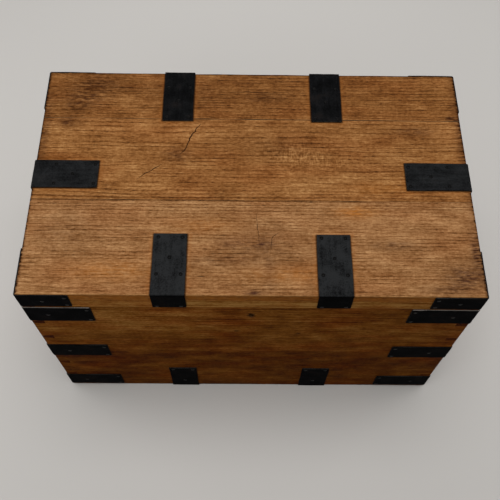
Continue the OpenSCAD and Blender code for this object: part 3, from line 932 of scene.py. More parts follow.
@dataclass
class Nails:
    """The forged nails of one body: a low faceted dome on a shank. No two heads are quite as wide
    or as high."""

    seed: int
    head: float = 3.8 * MM
    rise: float = 0.9 * MM
    shank: float = 1.7 * MM
    length: float = 17 * MM
    segments: int = 10
    under: float = 0.4 * MM  # how deep the head's underside lies in the iron
    flush_under: float = 1.2 * MM
    flush_sunk: float = 0.15 * MM
    # Rings of the dome, as shares of its rise and of the head's radius
    dome: tuple[tuple[float, float], ...] = ((0.45, 0.95), (0.85, 0.62), (1.0, 0.25))
    spots: list[tuple[Array, Array, bool]] = field(default_factory=list)

    def drive(self, point: Array, normal: Array, flush: bool = False) -> None:
        """Adds a nail at a point on the iron."""
        self.spots.append((point, normal, flush))

    def build(self, node: str, material: Material, body: str) -> None:
        """Turns every nail: circles up the shank, out under the head and over the dome.

        Args:
            node: The CAD node that holds them.
            material: Their finish.
            body: The body that they ride on.
        """
        rng = np.random.default_rng(self.seed)
        shells = []
        for point, normal, flush in self.spots:
            head = self.head * rng.uniform(0.93, 1.0)
            rise = 0.0 if flush else self.rise * rng.uniform(0.85, 1.0)
            sunk = self.flush_sunk if flush else 0.0
            under = -self.flush_under if flush else -self.under
            profile = [(-self.length, self.shank * 0.6), (under, self.shank), (under, head)]
            profile += [(rise * up - sunk, head * out) for up, out in self.dome]
            shells.append(turned(profile, point, normal, self.segments))
        Shell.joined(shells).take_place(node, "forged", material, body, "nail_iron")


@dataclass(frozen=True)
class Crack:
    """A drying crack in a board: its course on the top face in millimetres, and its half width."""

    course_mm: tuple[tuple[float, float], ...]
    half_mm: float

    def measure(self, x_mm: Array, y_mm: Array) -> tuple[Array, Array]:
        """Measures points from the crack. For each stretch from a to b the nearest place is
        a + t (b - a), with t cut to 0 and 1. The distance gets the sign of the cross product of
        b - a and the way to the point, so that it passes through 0 at the crack.

        Args:
            x_mm: X of the points.
            y_mm: Y of the points.

        Returns:
            Signed distance, and the half width there, which falls to 0 at both ends of the crack.
        """
        course = np.array(self.course_mm)
        steps = np.linalg.norm(np.diff(course, axis=0), axis=1)
        run = np.concatenate([[0], np.cumsum(steps)]) / steps.sum()
        best = np.full(x_mm.shape, np.inf)
        width = np.zeros(x_mm.shape)
        for a, b, start, stop in zip(course[:-1], course[1:], run[:-1], run[1:]):
            step = b - a
            t = np.clip(((x_mm - a[0]) * step[0] + (y_mm - a[1]) * step[1]) / (step @ step), 0, 1)
            dx, dy = x_mm - a[0] - t * step[0], y_mm - a[1] - t * step[1]
            distance = np.hypot(dx, dy) * np.sign(step[0] * dy - step[1] * dx)
            share = start + t * (stop - start)
            open_here = self.half_mm * np.sqrt(np.clip(4 * share * (1 - share), 0, 1))
            nearer = np.abs(distance) < np.abs(best)
            best, width = np.where(nearer, distance, best), np.where(nearer, open_here, width)
        return best, width


@dataclass(frozen=True)
class Patch:
    """A soft oval mark on the lid: its middle, its half sizes in millimetres and its strength."""

    middle_mm: tuple[float, float]
    half_mm: tuple[float, float]
    strength: float = 1.0

    def cover(self, x_mm: Array, y_mm: Array) -> Array:
        """The mark's strength at points: strength * exp(-(distance in half sizes)^2)."""
        u, v = (x_mm - self.middle_mm[0]) / self.half_mm[0], (y_mm - self.middle_mm[1]) / self.half_mm[1]
        return self.strength * np.exp(-(u**2 + v**2))


@dataclass
class LidTop:
    """The three lid boards: their tops worn and dented, their outer arrises rubbed round, and their own
    cracks, stains and golden patches, with painted light in the golden patches and painted shade at the
    edges and beside the straps."""

    step_x: float = 2.5 * MM
    step_y: float = 2.0 * MM
    margin: float = 4.0 * MM  # how far from its ends a board has finer steps
    outer_arris: float = 2.0 * MM
    joint_arris: float = 0.5 * MM
    under_arris: float = 0.2 * MM
    end_arris: float = 1.6 * MM
    worn_deep: float = 0.22 * MM
    dent_deep: float = 0.9 * MM
    groove_deep: float = 0.5 * MM  # beside a crack, on each millimetre of its half width
    groove_mm: float = 2.5
    jag_mm: float = 1.1  # how far a crack strays from its course
    joint_mm: float = 0.75
    back_joint_mm: float = 0.9
    shift_mm: float = 137.0  # from one board's figure to the next one's
    boards: tuple[Board, ...] = (
        # Tones fall from the front board to the back one: painted shade, darker towards the back. The front
        # board's top fades most: painted sheen, stronger at the front.
        Board("lid_board_front", (-610.0, 250.0), 0.04, faded=0.95),
        Board("lid_board_middle", (300.0, 210.0), -0.02, faded=0.6),
        Board("lid_board_back", (560.0, 300.0), -0.085, faded=0.6),
    )
    irons: tuple[str, ...] = ("lid_strap_front", "lid_strap_end", "hinge_lid_leaf")
    cracks: tuple[Crack, ...] = (
        Crack(((-98, 115), (-110, 95), (-117, 82), (-121, 67), (-127, 52), (-136, 41)), 1.5),
        Crack(((-164, 22), (-180, 11), (-196, 0), (-212, -15)), 1.0),
        Crack(((7, -85), (9, -108), (14, -150)), 0.75),
        Crack(((51, -120), (37, -130), (33, -144), (33, -160)), 0.7),
        Crack(((-47, 191), (-10, 193), (30, 190), (60, 191)), 1.0),
    )
    stains: tuple[Patch, ...] = (
        Patch((-302, 208), (56, 26), 0.75),
        Patch((-334, 166), (44, 28), 0.85),
        Patch((-352, 115), (24, 12), 0.8),
        Patch((-393, 90), (9, 90), 0.7),
        Patch((-140, 42), (24, 14), 0.8),
        Patch((30, 176), (36, 11), 0.7),
        Patch((311, 99), (36, 11), 0.75),
        Patch((397, 80), (10, 150), 0.8),
        Patch((252, -147), (42, 9), 0.6),
        Patch((392, -160), (9, 34)),
        Patch((368, -208), (34, 24)),
        Patch((330, -232), (40, 8), 0.5),
        Patch((384, 131), (13, 5)),
        Patch((-60, -180), (60, 12), 0.35),
        Patch((60, 60), (70, 26), 0.35),
        Patch((2, -240), (15, 6)),
        Patch((-140, 190), (90, 34), 0.35),
        Patch((20, -150), (60, 40), 0.4),
        Patch((30, -205), (12, 32), 0.55),
        Patch((17, -147), (17, 9), 0.6),
        Patch((-39, -145), (22, 10), 0.5),
        Patch((-330, -120), (60, 50), 0.3),
    )
    # golden patches, partly painted light where the top's front is lit more
    glows: tuple[Patch, ...] = (
        Patch((188, -80), (34, 11)),
        Patch((80, -205), (90, 16), 0.5),
        Patch((-240, -200), (70, 18), 0.55),
        Patch((-80, -110), (60, 15), 0.35),
        Patch((240, -30), (60, 14), 0.35),
    )
    lined: tuple[Patch, ...] = (
        Patch((-300, -52), (230, 34)),
        Patch((60, -60), (300, 26), 0.8),
        Patch((300, 5), (160, 30), 0.5),
        Patch((300, 175), (160, 22), 0.5),
    )
    flecks: tuple[Patch, ...] = (Patch((78, 44), (44, 20)), Patch((150, 30), (40, 14), 0.5))

    def __post_init__(self) -> None:
        """Reads where the lid's wood starts and ends."""
        self.outer_front, self.under = node_box(self.boards[0].node)[0][1:]
        self.outer_back = node_box(self.boards[-1].node)[1][1]

    def section(self, low: Array, high: Array, along: Array) -> tuple[Array, Array]:
        """Works out a board's cross-sections. Each is a rectangle with a quarter circle at each
        corner, centre + radius * (cos, sin) of a turning angle, and straight runs between them.
        The radii of the top edges vary by smooth random heights, with a nick here and there.

        Args:
            low: The board's lowest corner.
            high: The board's highest corner.
            along: X of the cross-sections.

        Returns:
            Y and Z in the shape (cross-sections, points).
        """
        (front, floor), (back, top) = low[1:], high[1:]
        wear = Clouds(11)
        nicks = np.clip(wear.at(along / (9 * MM), np.full_like(along, 5.3)) - 0.55, 0, 1) * 1.6
        rub = 1 + 0.35 * wear.at(along / (60 * MM), np.full_like(along, 2.1)) + nicks
        rubbed_front, rubbed_back = (
            rub * (self.outer_arris if edge == outer else self.joint_arris)
            for edge, outer in ((front, self.outer_front), (back, self.outer_back))
        )
        sharp = np.full_like(rub, self.under_arris)
        turn = np.linspace(0, QUARTER, 6)[None]
        arcs = [
            np.stack([y + r * np.cos(start - turn), z + r * np.sin(start - turn)], axis=-1)
            for y, z, r, start in (
                (front + rubbed_front, top - rubbed_front, rubbed_front, math.pi),
                (back - rubbed_back, top - rubbed_back, rubbed_back, QUARTER),
                (back - sharp, floor + sharp, sharp, 0.0),
                (front + sharp, floor + sharp, sharp, -QUARTER),
            )
        ]
        margin = self.margin / (back - front)
        fine = np.array([0.5, 1.2, 2.2]) * MM / (back - front)
        even = np.linspace(margin, 1 - margin, int((back - front) / self.step_y))
        face, side = np.concatenate([fine, even, 1 - fine[::-1]]), np.linspace(0, 1, 19)[1:-1]
        runs = []
        for k, share in enumerate((face, side, np.linspace(0, 1, 9)[1:-1], side)):
            start, stop = arcs[k][:, -1:], arcs[(k + 1) % 4][:, :1]
            runs += [arcs[k], start + share[None, :, None] * (stop - start)]
        return tuple(np.moveaxis(np.concatenate(runs, 1), -1, 0))

    def board(self, node: str, material: Material) -> None:
        """Builds one board as a cross-section carried along X and puts it in place of its node.
        It draws in by a quarter circle at each end, and its top sinks by its relief.

        Args:
            node: The CAD node's name.
            material: The board's finish.
        """
        low, high = node_box(node)
        (front, floor), (back, top) = low[1:], high[1:]
        steps = int((high[0] - low[0]) / self.step_x)
        inner = np.linspace(low[0] + self.margin, high[0] - self.margin, steps)
        ends = np.array([0.0, 0.12, 0.35, 0.7, 1.1, 1.6, 2.6]) * MM
        along = np.concatenate([low[0] + ends, inner, (high[0] - ends)[::-1]])[:, None]
        y, z = self.section(low, high, along)
        from_end = np.minimum(along - low[0], high[0] - along)
        drawn = quarter_round(from_end, self.end_arris)
        z = floor + (z - floor) * (1 - drawn / (top - floor))
        middle = (front + back) / 2
        y = middle + (y - middle) * (1 - drawn * 0.35 / (back - middle))
        x = np.broadcast_to(along, y.shape)
        z = z - self.relief(x, y) * near(top - z, 3 * MM)
        values = self.values(x, y, z, top, (front, back), np.broadcast_to(from_end, y.shape))
        Shell.swept(np.stack([x, y, z], axis=-1), values).take_place(node, "worn", material, "lid", "oak")

    def relief(self, x: Array, y: Array) -> Array:
        """How far the top has sunk: broad wear, shallow dents, and a groove at each crack.

        Args:
            x: X of the points.
            y: Y of the points.

        Returns:
            The depth at each point.
        """
        depth = self.worn_deep * (1 + Clouds(21).at(x / (90 * MM), y / (55 * MM)))
        dents = np.clip(Clouds(22).at(x / (11 * MM), y / (8 * MM)) - 0.72, 0, 1)
        depth = depth + self.dent_deep * dents
        for crack in self.cracks:
            distance, width = crack.measure(x / MM, y / MM)
            depth = depth + self.groove_deep * near(np.abs(distance), self.groove_mm) * width
        return depth

    def openings(self, x_mm: Array, y_mm: Array, edges: tuple[float, float]) -> tuple[Array, Array]:
        """Measures points from the cracks, whose course is bent a little at random, and from the
        joints at a board's inner edges.

        Args:
            x_mm: X of the points.
            y_mm: Y of the points.
            edges: Y of the board's front and back.

        Returns:
            Signed distance from the nearest opening, and its half width there, in millimetres.
        """
        jag = Clouds(31)
        bent_x = x_mm + self.jag_mm * jag.at(x_mm / 7, y_mm / 5)
        bent_y = y_mm + self.jag_mm * jag.at(x_mm / 6 + 20, y_mm / 6)
        best, width = np.full(x_mm.shape, FAR_MM), np.zeros(x_mm.shape)
        for crack in self.cracks:
            distance, half = crack.measure(bent_x, bent_y)
            nearer = np.abs(distance) < np.abs(best)
            best = np.where(nearer, distance, best)
            width = np.where(nearer, half * np.clip(2 - np.abs(distance) / 6, 0, 1), width)
        for edge in edges:
            if self.outer_front < edge < self.outer_back:
                distance = np.abs(y_mm - edge / MM)
                nearer = distance < np.abs(best)
                best = np.where(nearer, distance, best)
                joint = self.joint_mm if edge < 0 else self.back_joint_mm
                uneven = 1 + 0.7 * jag.at(x_mm / 45, np.full(x_mm.shape, edge / MM))
                width = np.where(nearer, joint * uneven, width)
        return best, width

    def values(
        self, x: Array, y: Array, z: Array, top: float, edges: tuple[float, float], from_end: Array
    ) -> dict[str, Array]:
        """Works out the marks of a board on its points.

        Args:
            x: X of the points.
            y: Y of the points.
            z: Z of the points.
            top: Height of the board's top.
            edges: Y of the board's front and back.
            from_end: Distance from the nearer end of the board.

        Returns:
            The values that the oak's material reads.
        """
        x_mm, y_mm = x / MM, y / MM
        down, from_front = top - z, y - self.outer_front
        on_top, low_part = near(down, 4 * MM), near(down, 3.5 * MM)
        on_under = near(z - self.under, 2 * MM)
        at_joint = np.min([np.abs(y - edge) for edge in edges], axis=0) < 6 * MM
        # painted shade on the rounded back edge and the ends of the lid
        beside = np.clip(1.5 - np.minimum(self.outer_back - y, from_end) / (3.2 * MM), 0, 1) * low_part
        front_face = near(from_front, 1 * MM)
        # painted shade in a thin band just under the front arris
        under_arris = np.exp(-((down / MM - 3.6) ** 2)) * front_face
        below_arris = np.clip(down / (3 * MM) - 0.6, 0, 1)
        iron = np.full(x.shape, FAR_MM)
        for node in (f"{kind}_{side.word}" for kind in self.irons for side in Side):
            low, high = node_box(node)
            away_x = np.maximum(np.maximum(low[0] - x, x - high[0]), 0)
            away_y = np.maximum(np.maximum(low[1] - y, y - high[1]), 0)
            iron = np.minimum(iron, np.hypot(away_x, away_y) / MM)
        best, width = self.openings(x_mm, y_mm, edges)
        stain, glow, lined, fleck = (
            sum(patch.cover(x_mm, y_mm) for patch in patches)
            for patches in (self.stains, self.glows, self.lined, self.flecks)
        )
        return {
            "grime": np.maximum(beside, 0.55 * under_arris),
            "stain": np.clip(stain, 0, 1) * on_top,
            # golden patches, and the whole lid front face lighter: painted light
            "glow": np.clip(glow * on_top, 0, 1) + 0.9 * front_face * below_arris,
            "lined": np.clip(lined, 0, 1) * on_top,
            "fleck": np.clip(0.22 + fleck, 0, 1) * on_top,
            "wear": near(from_front, 3 * MM) * low_part,
            "iron_mm": np.where(on_top > 0, iron, FAR_MM),
            "crack_mm": best,
            "crack_open_mm": width * np.maximum(on_top, on_under * at_joint),
        }

    def build(self) -> None:
        """Builds the three boards."""
        for number, board in enumerate(self.boards):
            self.board(board.node, WaxedOak(board, self.shift_mm * number, marked=True).make())


@dataclass
class Ironwork:
    """Every strap and corner iron with its nails, on the lid and on the box."""

    lid_nails: Nails = field(default_factory=lambda: Nails(5))
    box_nails: Nails = field(default_factory=lambda: Nails(6))
    count: int = 0

    def __post_init__(self) -> None:
        """Reads the straps' thickness from the frame and makes their finishes."""
        self.thick = float(node_box("lid_strap_front_left")[1][2] - node_box("lid_board_front")[1][2])
        # one finish for each level of dust and painted sheen; the front straps get most, as their tops
        # reflect the most light
        self.irons = {
            dust: BlackIron(f"dull_black_iron_{dust.name.lower()}", dusty=dust.value).make() for dust in Dust
        }
        # painted highlight: a pale line on the top edges of the top corner irons
        self.bright_top = BlackIron("dull_black_iron_rubbed_top", dust="88827a", dust_from=0.9).make()
        coat = {"dark": "020202", "coat": "050505", "light": "0a0a0a", "dusty": 0.02}
        self.nail_iron = BlackIron("dull_black_iron_nail", **coat, roughness=0.34, specular=0.05).make()

    def bar(
        self, node: str, first: Array, second: Array, nails: tuple[NailPattern, NailPattern], body: str
    ) -> None:
        """Builds a bent strap in place of its node and drives its nails. A strap whose second leg
        goes up wraps under the chest, and the nails of its first leg are flush.

        Args:
            node: The CAD node's name.
            first: Direction of the first leg, away from the wood's edge.
            second: Direction of the second leg.
            nails: The nails of the two legs.
            body: The body that the strap rides on.
        """
        low, high = node_box(node)
        both = first + second
        inner_low, inner_high = low + self.thick * (both > 0), high - self.thick * (both < 0)
        corner = np.where(both > 0, inner_low, np.where(both < 0, inner_high, (low + high) / 2))
        size = inner_high - inner_low
        ways = (first, second, np.cross(first, second))
        first_len, second_len, width = (float(size @ np.abs(way)) for way in ways)
        self.count += 1
        bar = FlatBar(corner, first, second, first_len, second_len, width, self.thick, self.count)
        self.finish(bar.build(), node, body)
        self.drive(bar, nails, body, flush=second[2] > 0)

    def drive(
        self, bar: FlatBar, nails: tuple[NailPattern, NailPattern], body: str, flush: bool = False
    ) -> None:
        """Drives the nails of both legs of a bar.

        Args:
            bar: The bar.
            nails: The nails of the two legs.
            body: The body that the bar rides on.
            flush: Whether the nails of the first leg are flush.
        """
        group = self.lid_nails if body == "lid" else self.box_nails
        legs = (bar.first, bar.first_len, nails[0], flush), (bar.second, bar.second_len, nails[1], False)
        for leg, length, pattern, sunk in legs:
            for distance, sideways in pattern.spots(length, bar.width):
                group.drive(*bar.place(leg, distance, sideways), sunk)

    def finish(self, shell: Shell, node: str, body: str) -> None:
        """Makes a piece of iron from a surface, in place of its node.

        Args:
            shell: The surface.
            node: The CAD node's name, whose start tells how much dust and painted sheen the iron gets.
            body: The body that the piece rides on.
        """
        # more dust and painted sheen on the lid's front and end straps, whose tops reflect more light
        dust_sheens = {"lid_strap_front": Dust.RUBBED, "lid_strap_end": Dust.GREY}
        dust = next((dust for start, dust in dust_sheens.items() if node.startswith(start)), Dust.DARK)
        # the top corner irons get a painted highlight on their top edges
        iron = self.bright_top if node.startswith("corner_top") else self.irons[dust]
        shell.take_place(node, "forged", iron, body, "black_iron")

    def build(self) -> None:
        """Builds the straps of the lid and of the box."""
        five_two = (NailPattern.FIVE, NailPattern.TWO)
        three_three = (NailPattern.THREE, NailPattern.THREE)
        short_short = (NailPattern.SHORT, NailPattern.SHORT)
        for side in Side:
            inward = -side.value * X
            self.bar(f"lid_strap_front_{side.word}", Y, -Z, five_two, "lid")
            self.bar(f"lid_strap_end_{side.word}", inward, -Z, five_two, "lid")
            for word, deeper in (("front", Y), ("back", -Y)):
                self.bar(f"lid_corner_{word}_{side.word}", inward, deeper, short_short, "lid")
                for level in ("top", "middle", "low"):
                    self.bar(f"corner_{level}_{word}_{side.word}", inward, deeper, three_three, "chest")
                self.bar(f"bottom_strap_{word}_{side.word}", deeper, Z, three_three, "chest")
            self.bar(f"bottom_strap_end_{side.word}", inward, Z, three_three, "chest")

    def set_nails(self) -> None:
        """Makes the nails of both bodies, once every piece has driven its own."""
        self.lid_nails.build("lid_nails", self.nail_iron, "lid")
        self.box_nails.build("box_nails", self.nail_iron, "chest")


@dataclass
class Hinge:
    """One strap hinge: a bent leaf on the lid, a flat leaf on the back, three knuckles, a pin."""

    side: Side
    work: Ironwork
    soft: float = 0.5 * MM
    overlap: float = 1 * MM  # how far a tongue runs on into its leaf
    pin: float = 3 * MM  # radius
    head_inset: float = 1 * MM  # from the knuckle's radius to the pin head's
    # Rings of a pin's head: millimetres in from its end, and shares of the head's radius
    head: tuple[tuple[float, float], ...] = ((2, 1), (1.1, 1), (0.4, 0.8), (0, 0.35))
    seed: int = 40  # of the lid leaf's waves, one less on the left and one more on the right

    def __post_init__(self) -> None:
        """Reads the hinge's place from the frame."""
        pin_low, pin_high = node_box(f"hinge_pin_{self.side.word}")
        leaf_low, leaf_high = node_box(f"hinge_box_leaf_{self.side.word}")
        self.axis = np.array([(leaf_low[0] + leaf_high[0]) / 2, *((pin_low + pin_high) / 2)[1:]])
        self.knuckle = float(leaf_high[1] - self.axis[1])
        self.width = float(leaf_high[0] - leaf_low[0])
        self.pin_half = float(pin_high[0] - pin_low[0]) / 2
        self.back, self.low_end = leaf_low[1:]
        self.top = float(node_box("lid_board_back")[1][2])

    def knuckles(self, middle: float, width: float, up: int) -> list[Shell]:
        """A knuckle, a cylinder with softened rims round the pin's axis, and its tongue, the
        short plate to its leaf.

        Args:
            middle: Distance of the knuckle's middle from the hinge's middle.
            width: Width of both.
            up: 1 if the leaf is above the axis, -1 if below.

        Returns:
            The tongue and the knuckle.
        """
        half, r, s = width / 2, self.knuckle, self.soft
        rim = [(half - s, r), (half - 0.3 * s, r - 0.3 * s), (half, r - s)]
        place = self.axis + middle * X
        length = HINGE_STOP + self.overlap
        start = np.array([place[0], self.back, place[2] + up * length])
        tongue = plate(start, -up * Z, length, X * width, Y * self.work.thick, self.soft)
        return [tongue, turned([(-a, b) for a, b in reversed(rim)] + rim, place, X, 36)]

    def build(self) -> None:
        """Builds both leaves with their nails, and the pin, whose two heads are low domes."""
        word, thick = self.side.word, self.work.thick
        third = self.width / 3
        corner = np.array([self.axis[0], self.back, self.top])
        down = self.top - self.axis[2] - HINGE_STOP
        seed = self.seed + self.side.value
        lid_leaf = FlatBar(corner, -Y, -Z, STRAP_LEG - thick, down, self.width, thick, seed)
        shells = [lid_leaf.build(), *self.knuckles(0.0, third - KNUCKLE_GAP, 1)]
        self.work.finish(Shell.joined(shells), f"hinge_lid_leaf_{word}", "lid")
        self.work.drive(lid_leaf, (NailPattern.FIVE, NailPattern.TWO), "lid")
        top_end = np.array([self.axis[0], self.back, self.axis[2] - HINGE_STOP])
        shells = [plate(top_end, -Z, top_end[2] - self.low_end, X * self.width, Y * thick, self.soft)]
        for s in (-1, 1):
            shells += self.knuckles(s * third, third, -1)
        self.work.finish(Shell.joined(shells), f"hinge_box_leaf_{word}", "chest")
        rim = float(node_box("front_board_upper")[1][2])
        for distance, sideways in NailPattern.FIVE.spots(rim - self.low_end, self.width):
            point = np.array([self.axis[0] + sideways, self.back + thick, rim - distance])
            self.work.box_nails.drive(point, Y)
        rings = [(self.pin_half - inward * MM, share) for inward, share in self.head]
        half = [(rings[0][0], self.pin)]
        half += [(along, share * (self.knuckle - self.head_inset)) for along, share in rings]
        profile = [(-along, r) for along, r in reversed(half)] + half
        self.work.finish(turned(profile, self.axis, X, 24), f"hinge_pin_{word}", "chest")


@dataclass
class Handle:
    """A drop handle on an end of the chest: a nailed plate with two ears, and a round bail."""

    side: Side
    work: Ironwork
    bar: float = 5 * MM
    swell: float = 0.5 * MM
    bend: float = 16 * MM
    pivot: float = 3.6 * MM
    ear_wide: float = 9 * MM
    ear_gap: float = 1 * MM
    plate_thick: float = 3 * MM
    soft: float = 0.7 * MM
    first_ring: float = 0.25  # angle from the tip of an arm's round end to its first ring

    def __post_init__(self) -> None:
        """Reads the handle's place from the frame and its joint."""
        joint = next(j for j in frame["joints"] if j["name"] == f"{self.side.word}_handle_swing")
        self.axis = np.array(joint["pos_m"])
        low, high = node_box(f"handle_bail_{self.side.word}")
        self.span = float(high[1] - low[1]) - 2 * self.bar
        self.drop = float(self.axis[2] - low[2]) - self.bar
        self.rise = float(high[2] - self.axis[2])
        self.plate_low, self.plate_high = node_box(f"handle_plate_{self.side.word}")
        walls = node_box(f"{self.side.word}_end_board_upper")
        self.wall = float(walls[self.side is Side.RIGHT][0])

    def bail(self) -> Shell:
        """The bail: a circle carried along a U in the YZ plane, down one arm, round two bends of
        one radius and up the other arm. Its radius swells in the middle of the grip, and its ends
        close as half spheres.

        Returns:
            The closed surface.
        """
        arm, low, r = self.span / 2, self.drop - self.bend, self.bend
        dome = self.bar * (1 - np.cos(np.linspace(self.first_ring, QUARTER, 6)))
        down = np.concatenate([self.rise - dome, np.linspace(self.rise - self.bar, -low, 14)[1:]])
        turn = np.linspace(0, QUARTER, 10)[1:]
        across = np.linspace(-arm + r, 0, 16)[1:]
        half_y = np.concatenate([np.full(len(down), -arm), -arm + r - r * np.cos(turn), across])
        half_z = np.concatenate([down, -low - r * np.sin(turn), np.full(len(across), -self.drop)])
        half = np.stack([half_y, half_z], 1)
        path = np.concatenate([half, half[-2::-1] * (-1, 1)])
        heading = np.gradient(path, axis=0)
        heading /= np.linalg.norm(heading, axis=1)[:, None]
        run = np.concatenate([[0], np.cumsum(np.linalg.norm(np.diff(path, axis=0), axis=1))])
        from_end = np.minimum(run, run[-1] - run) + self.bar * (1 - math.cos(self.first_ring))
        radius = np.sqrt(self.bar**2 - np.clip(self.bar - from_end, 0, self.bar) ** 2)
        grip = near(np.abs(path[:, 0]), arm - r) * (path[:, 1] < -low)
        radius = radius + self.swell * np.sin(grip * QUARTER) ** 2
        angle = np.arange(20) * 2 * math.pi / 20
        normal = np.stack([np.zeros(len(path)), -heading[:, 1], heading[:, 0]], 1)
        middle = np.concatenate([np.zeros((len(path), 1)), path], 1)
        ring_in, ring_x = radius[:, None] * np.cos(angle), radius[:, None] * np.sin(angle)
        ring = ring_x[..., None] * X + ring_in[..., None] * normal[:, None]
        return Shell.swept(self.axis + middle[:, None] + ring)

    def pivots(self) -> list[Shell]:
        """The two pivots, from the arms in through the ears, each with a peened end.

        Returns:
            The two closed surfaces.
        """
        ear_in = self.bar + self.ear_gap + self.ear_wide
        peened = [(0.0, self.pivot), (ear_in + 0.3 * MM, self.pivot), (ear_in + 0.3 * MM, 4.6 * MM)]
        peened += [(ear_in + 1.2 * MM, 4.4 * MM), (ear_in + 2 * MM, 3 * MM), (ear_in + 2.1 * MM, 0.8 * MM)]
        return [turned(peened, self.axis + s * self.span / 2 * Y, -s * Y, 20) for s in (-1, 1)]

    def ear(self, s: int) -> Shell:
        """An ear: half a circle round the pivot and two straight flanks to the plate, carried
        across the ear's width and drawn in at its rims.

        Args:
            s: -1 for the front ear, 1 for the back ear.

        Returns:
            The closed surface.
        """
        out = self.side.value
        r = float(np.abs((self.plate_low, self.plate_high)[out > 0][0] - self.axis[0]))
        turn = np.linspace(-QUARTER, QUARTER, 17)
        foot = abs(self.axis[0] - self.wall - out * self.plate_thick) + 0.5 * MM
        rim = np.stack([np.cos(turn) * r, np.sin(turn) * r], 1)
        outline = np.concatenate([rim, [(-foot, r), (-foot, -r)]])
        along = np.concatenate([eased(self.soft), (self.ear_wide - eased(self.soft))[::-1]])[:, None]
        drawn = quarter_round(np.minimum(along, self.ear_wide - along), self.soft)
        scaled = outline[None] * (1 - drawn / r * (outline[:, 0] > -foot + 1e-9))[..., None]
        middle = self.axis + s * (self.span / 2 - self.bar - self.ear_gap - self.ear_wide) * Y
        points = scaled[..., :1] * out * X + scaled[..., 1:] * Z + s * along[..., None] * Y
        return Shell.swept(middle + points)

    def build(self) -> None:
        """Builds the plate with its ears and nails, and the bail."""
        word, out = self.side.word, self.side.value
        (near_y, low_z), (far_y, high_z) = self.plate_low[1:], self.plate_high[1:]
        start = np.array([self.wall, near_y, (low_z + high_z) / 2])
        deep = out * X * self.plate_thick
        base = plate(start, Y, float(far_y - near_y), Z * (high_z - low_z), deep, self.soft)
        self.work.finish(Shell.joined([base, self.ear(-1), self.ear(1)]), f"handle_plate_{word}", "chest")
        for y in (near_y + NAIL_END_INSET, far_y - NAIL_END_INSET):
            for z in (low_z + NAIL_END_INSET, high_z - NAIL_END_INSET):
                self.work.box_nails.drive(np.array([self.wall, y, z]) + deep, out * X)
        drop = Shell.joined([self.bail(), *self.pivots()])
        self.work.finish(drop, f"handle_bail_{word}", f"{word}_handle")


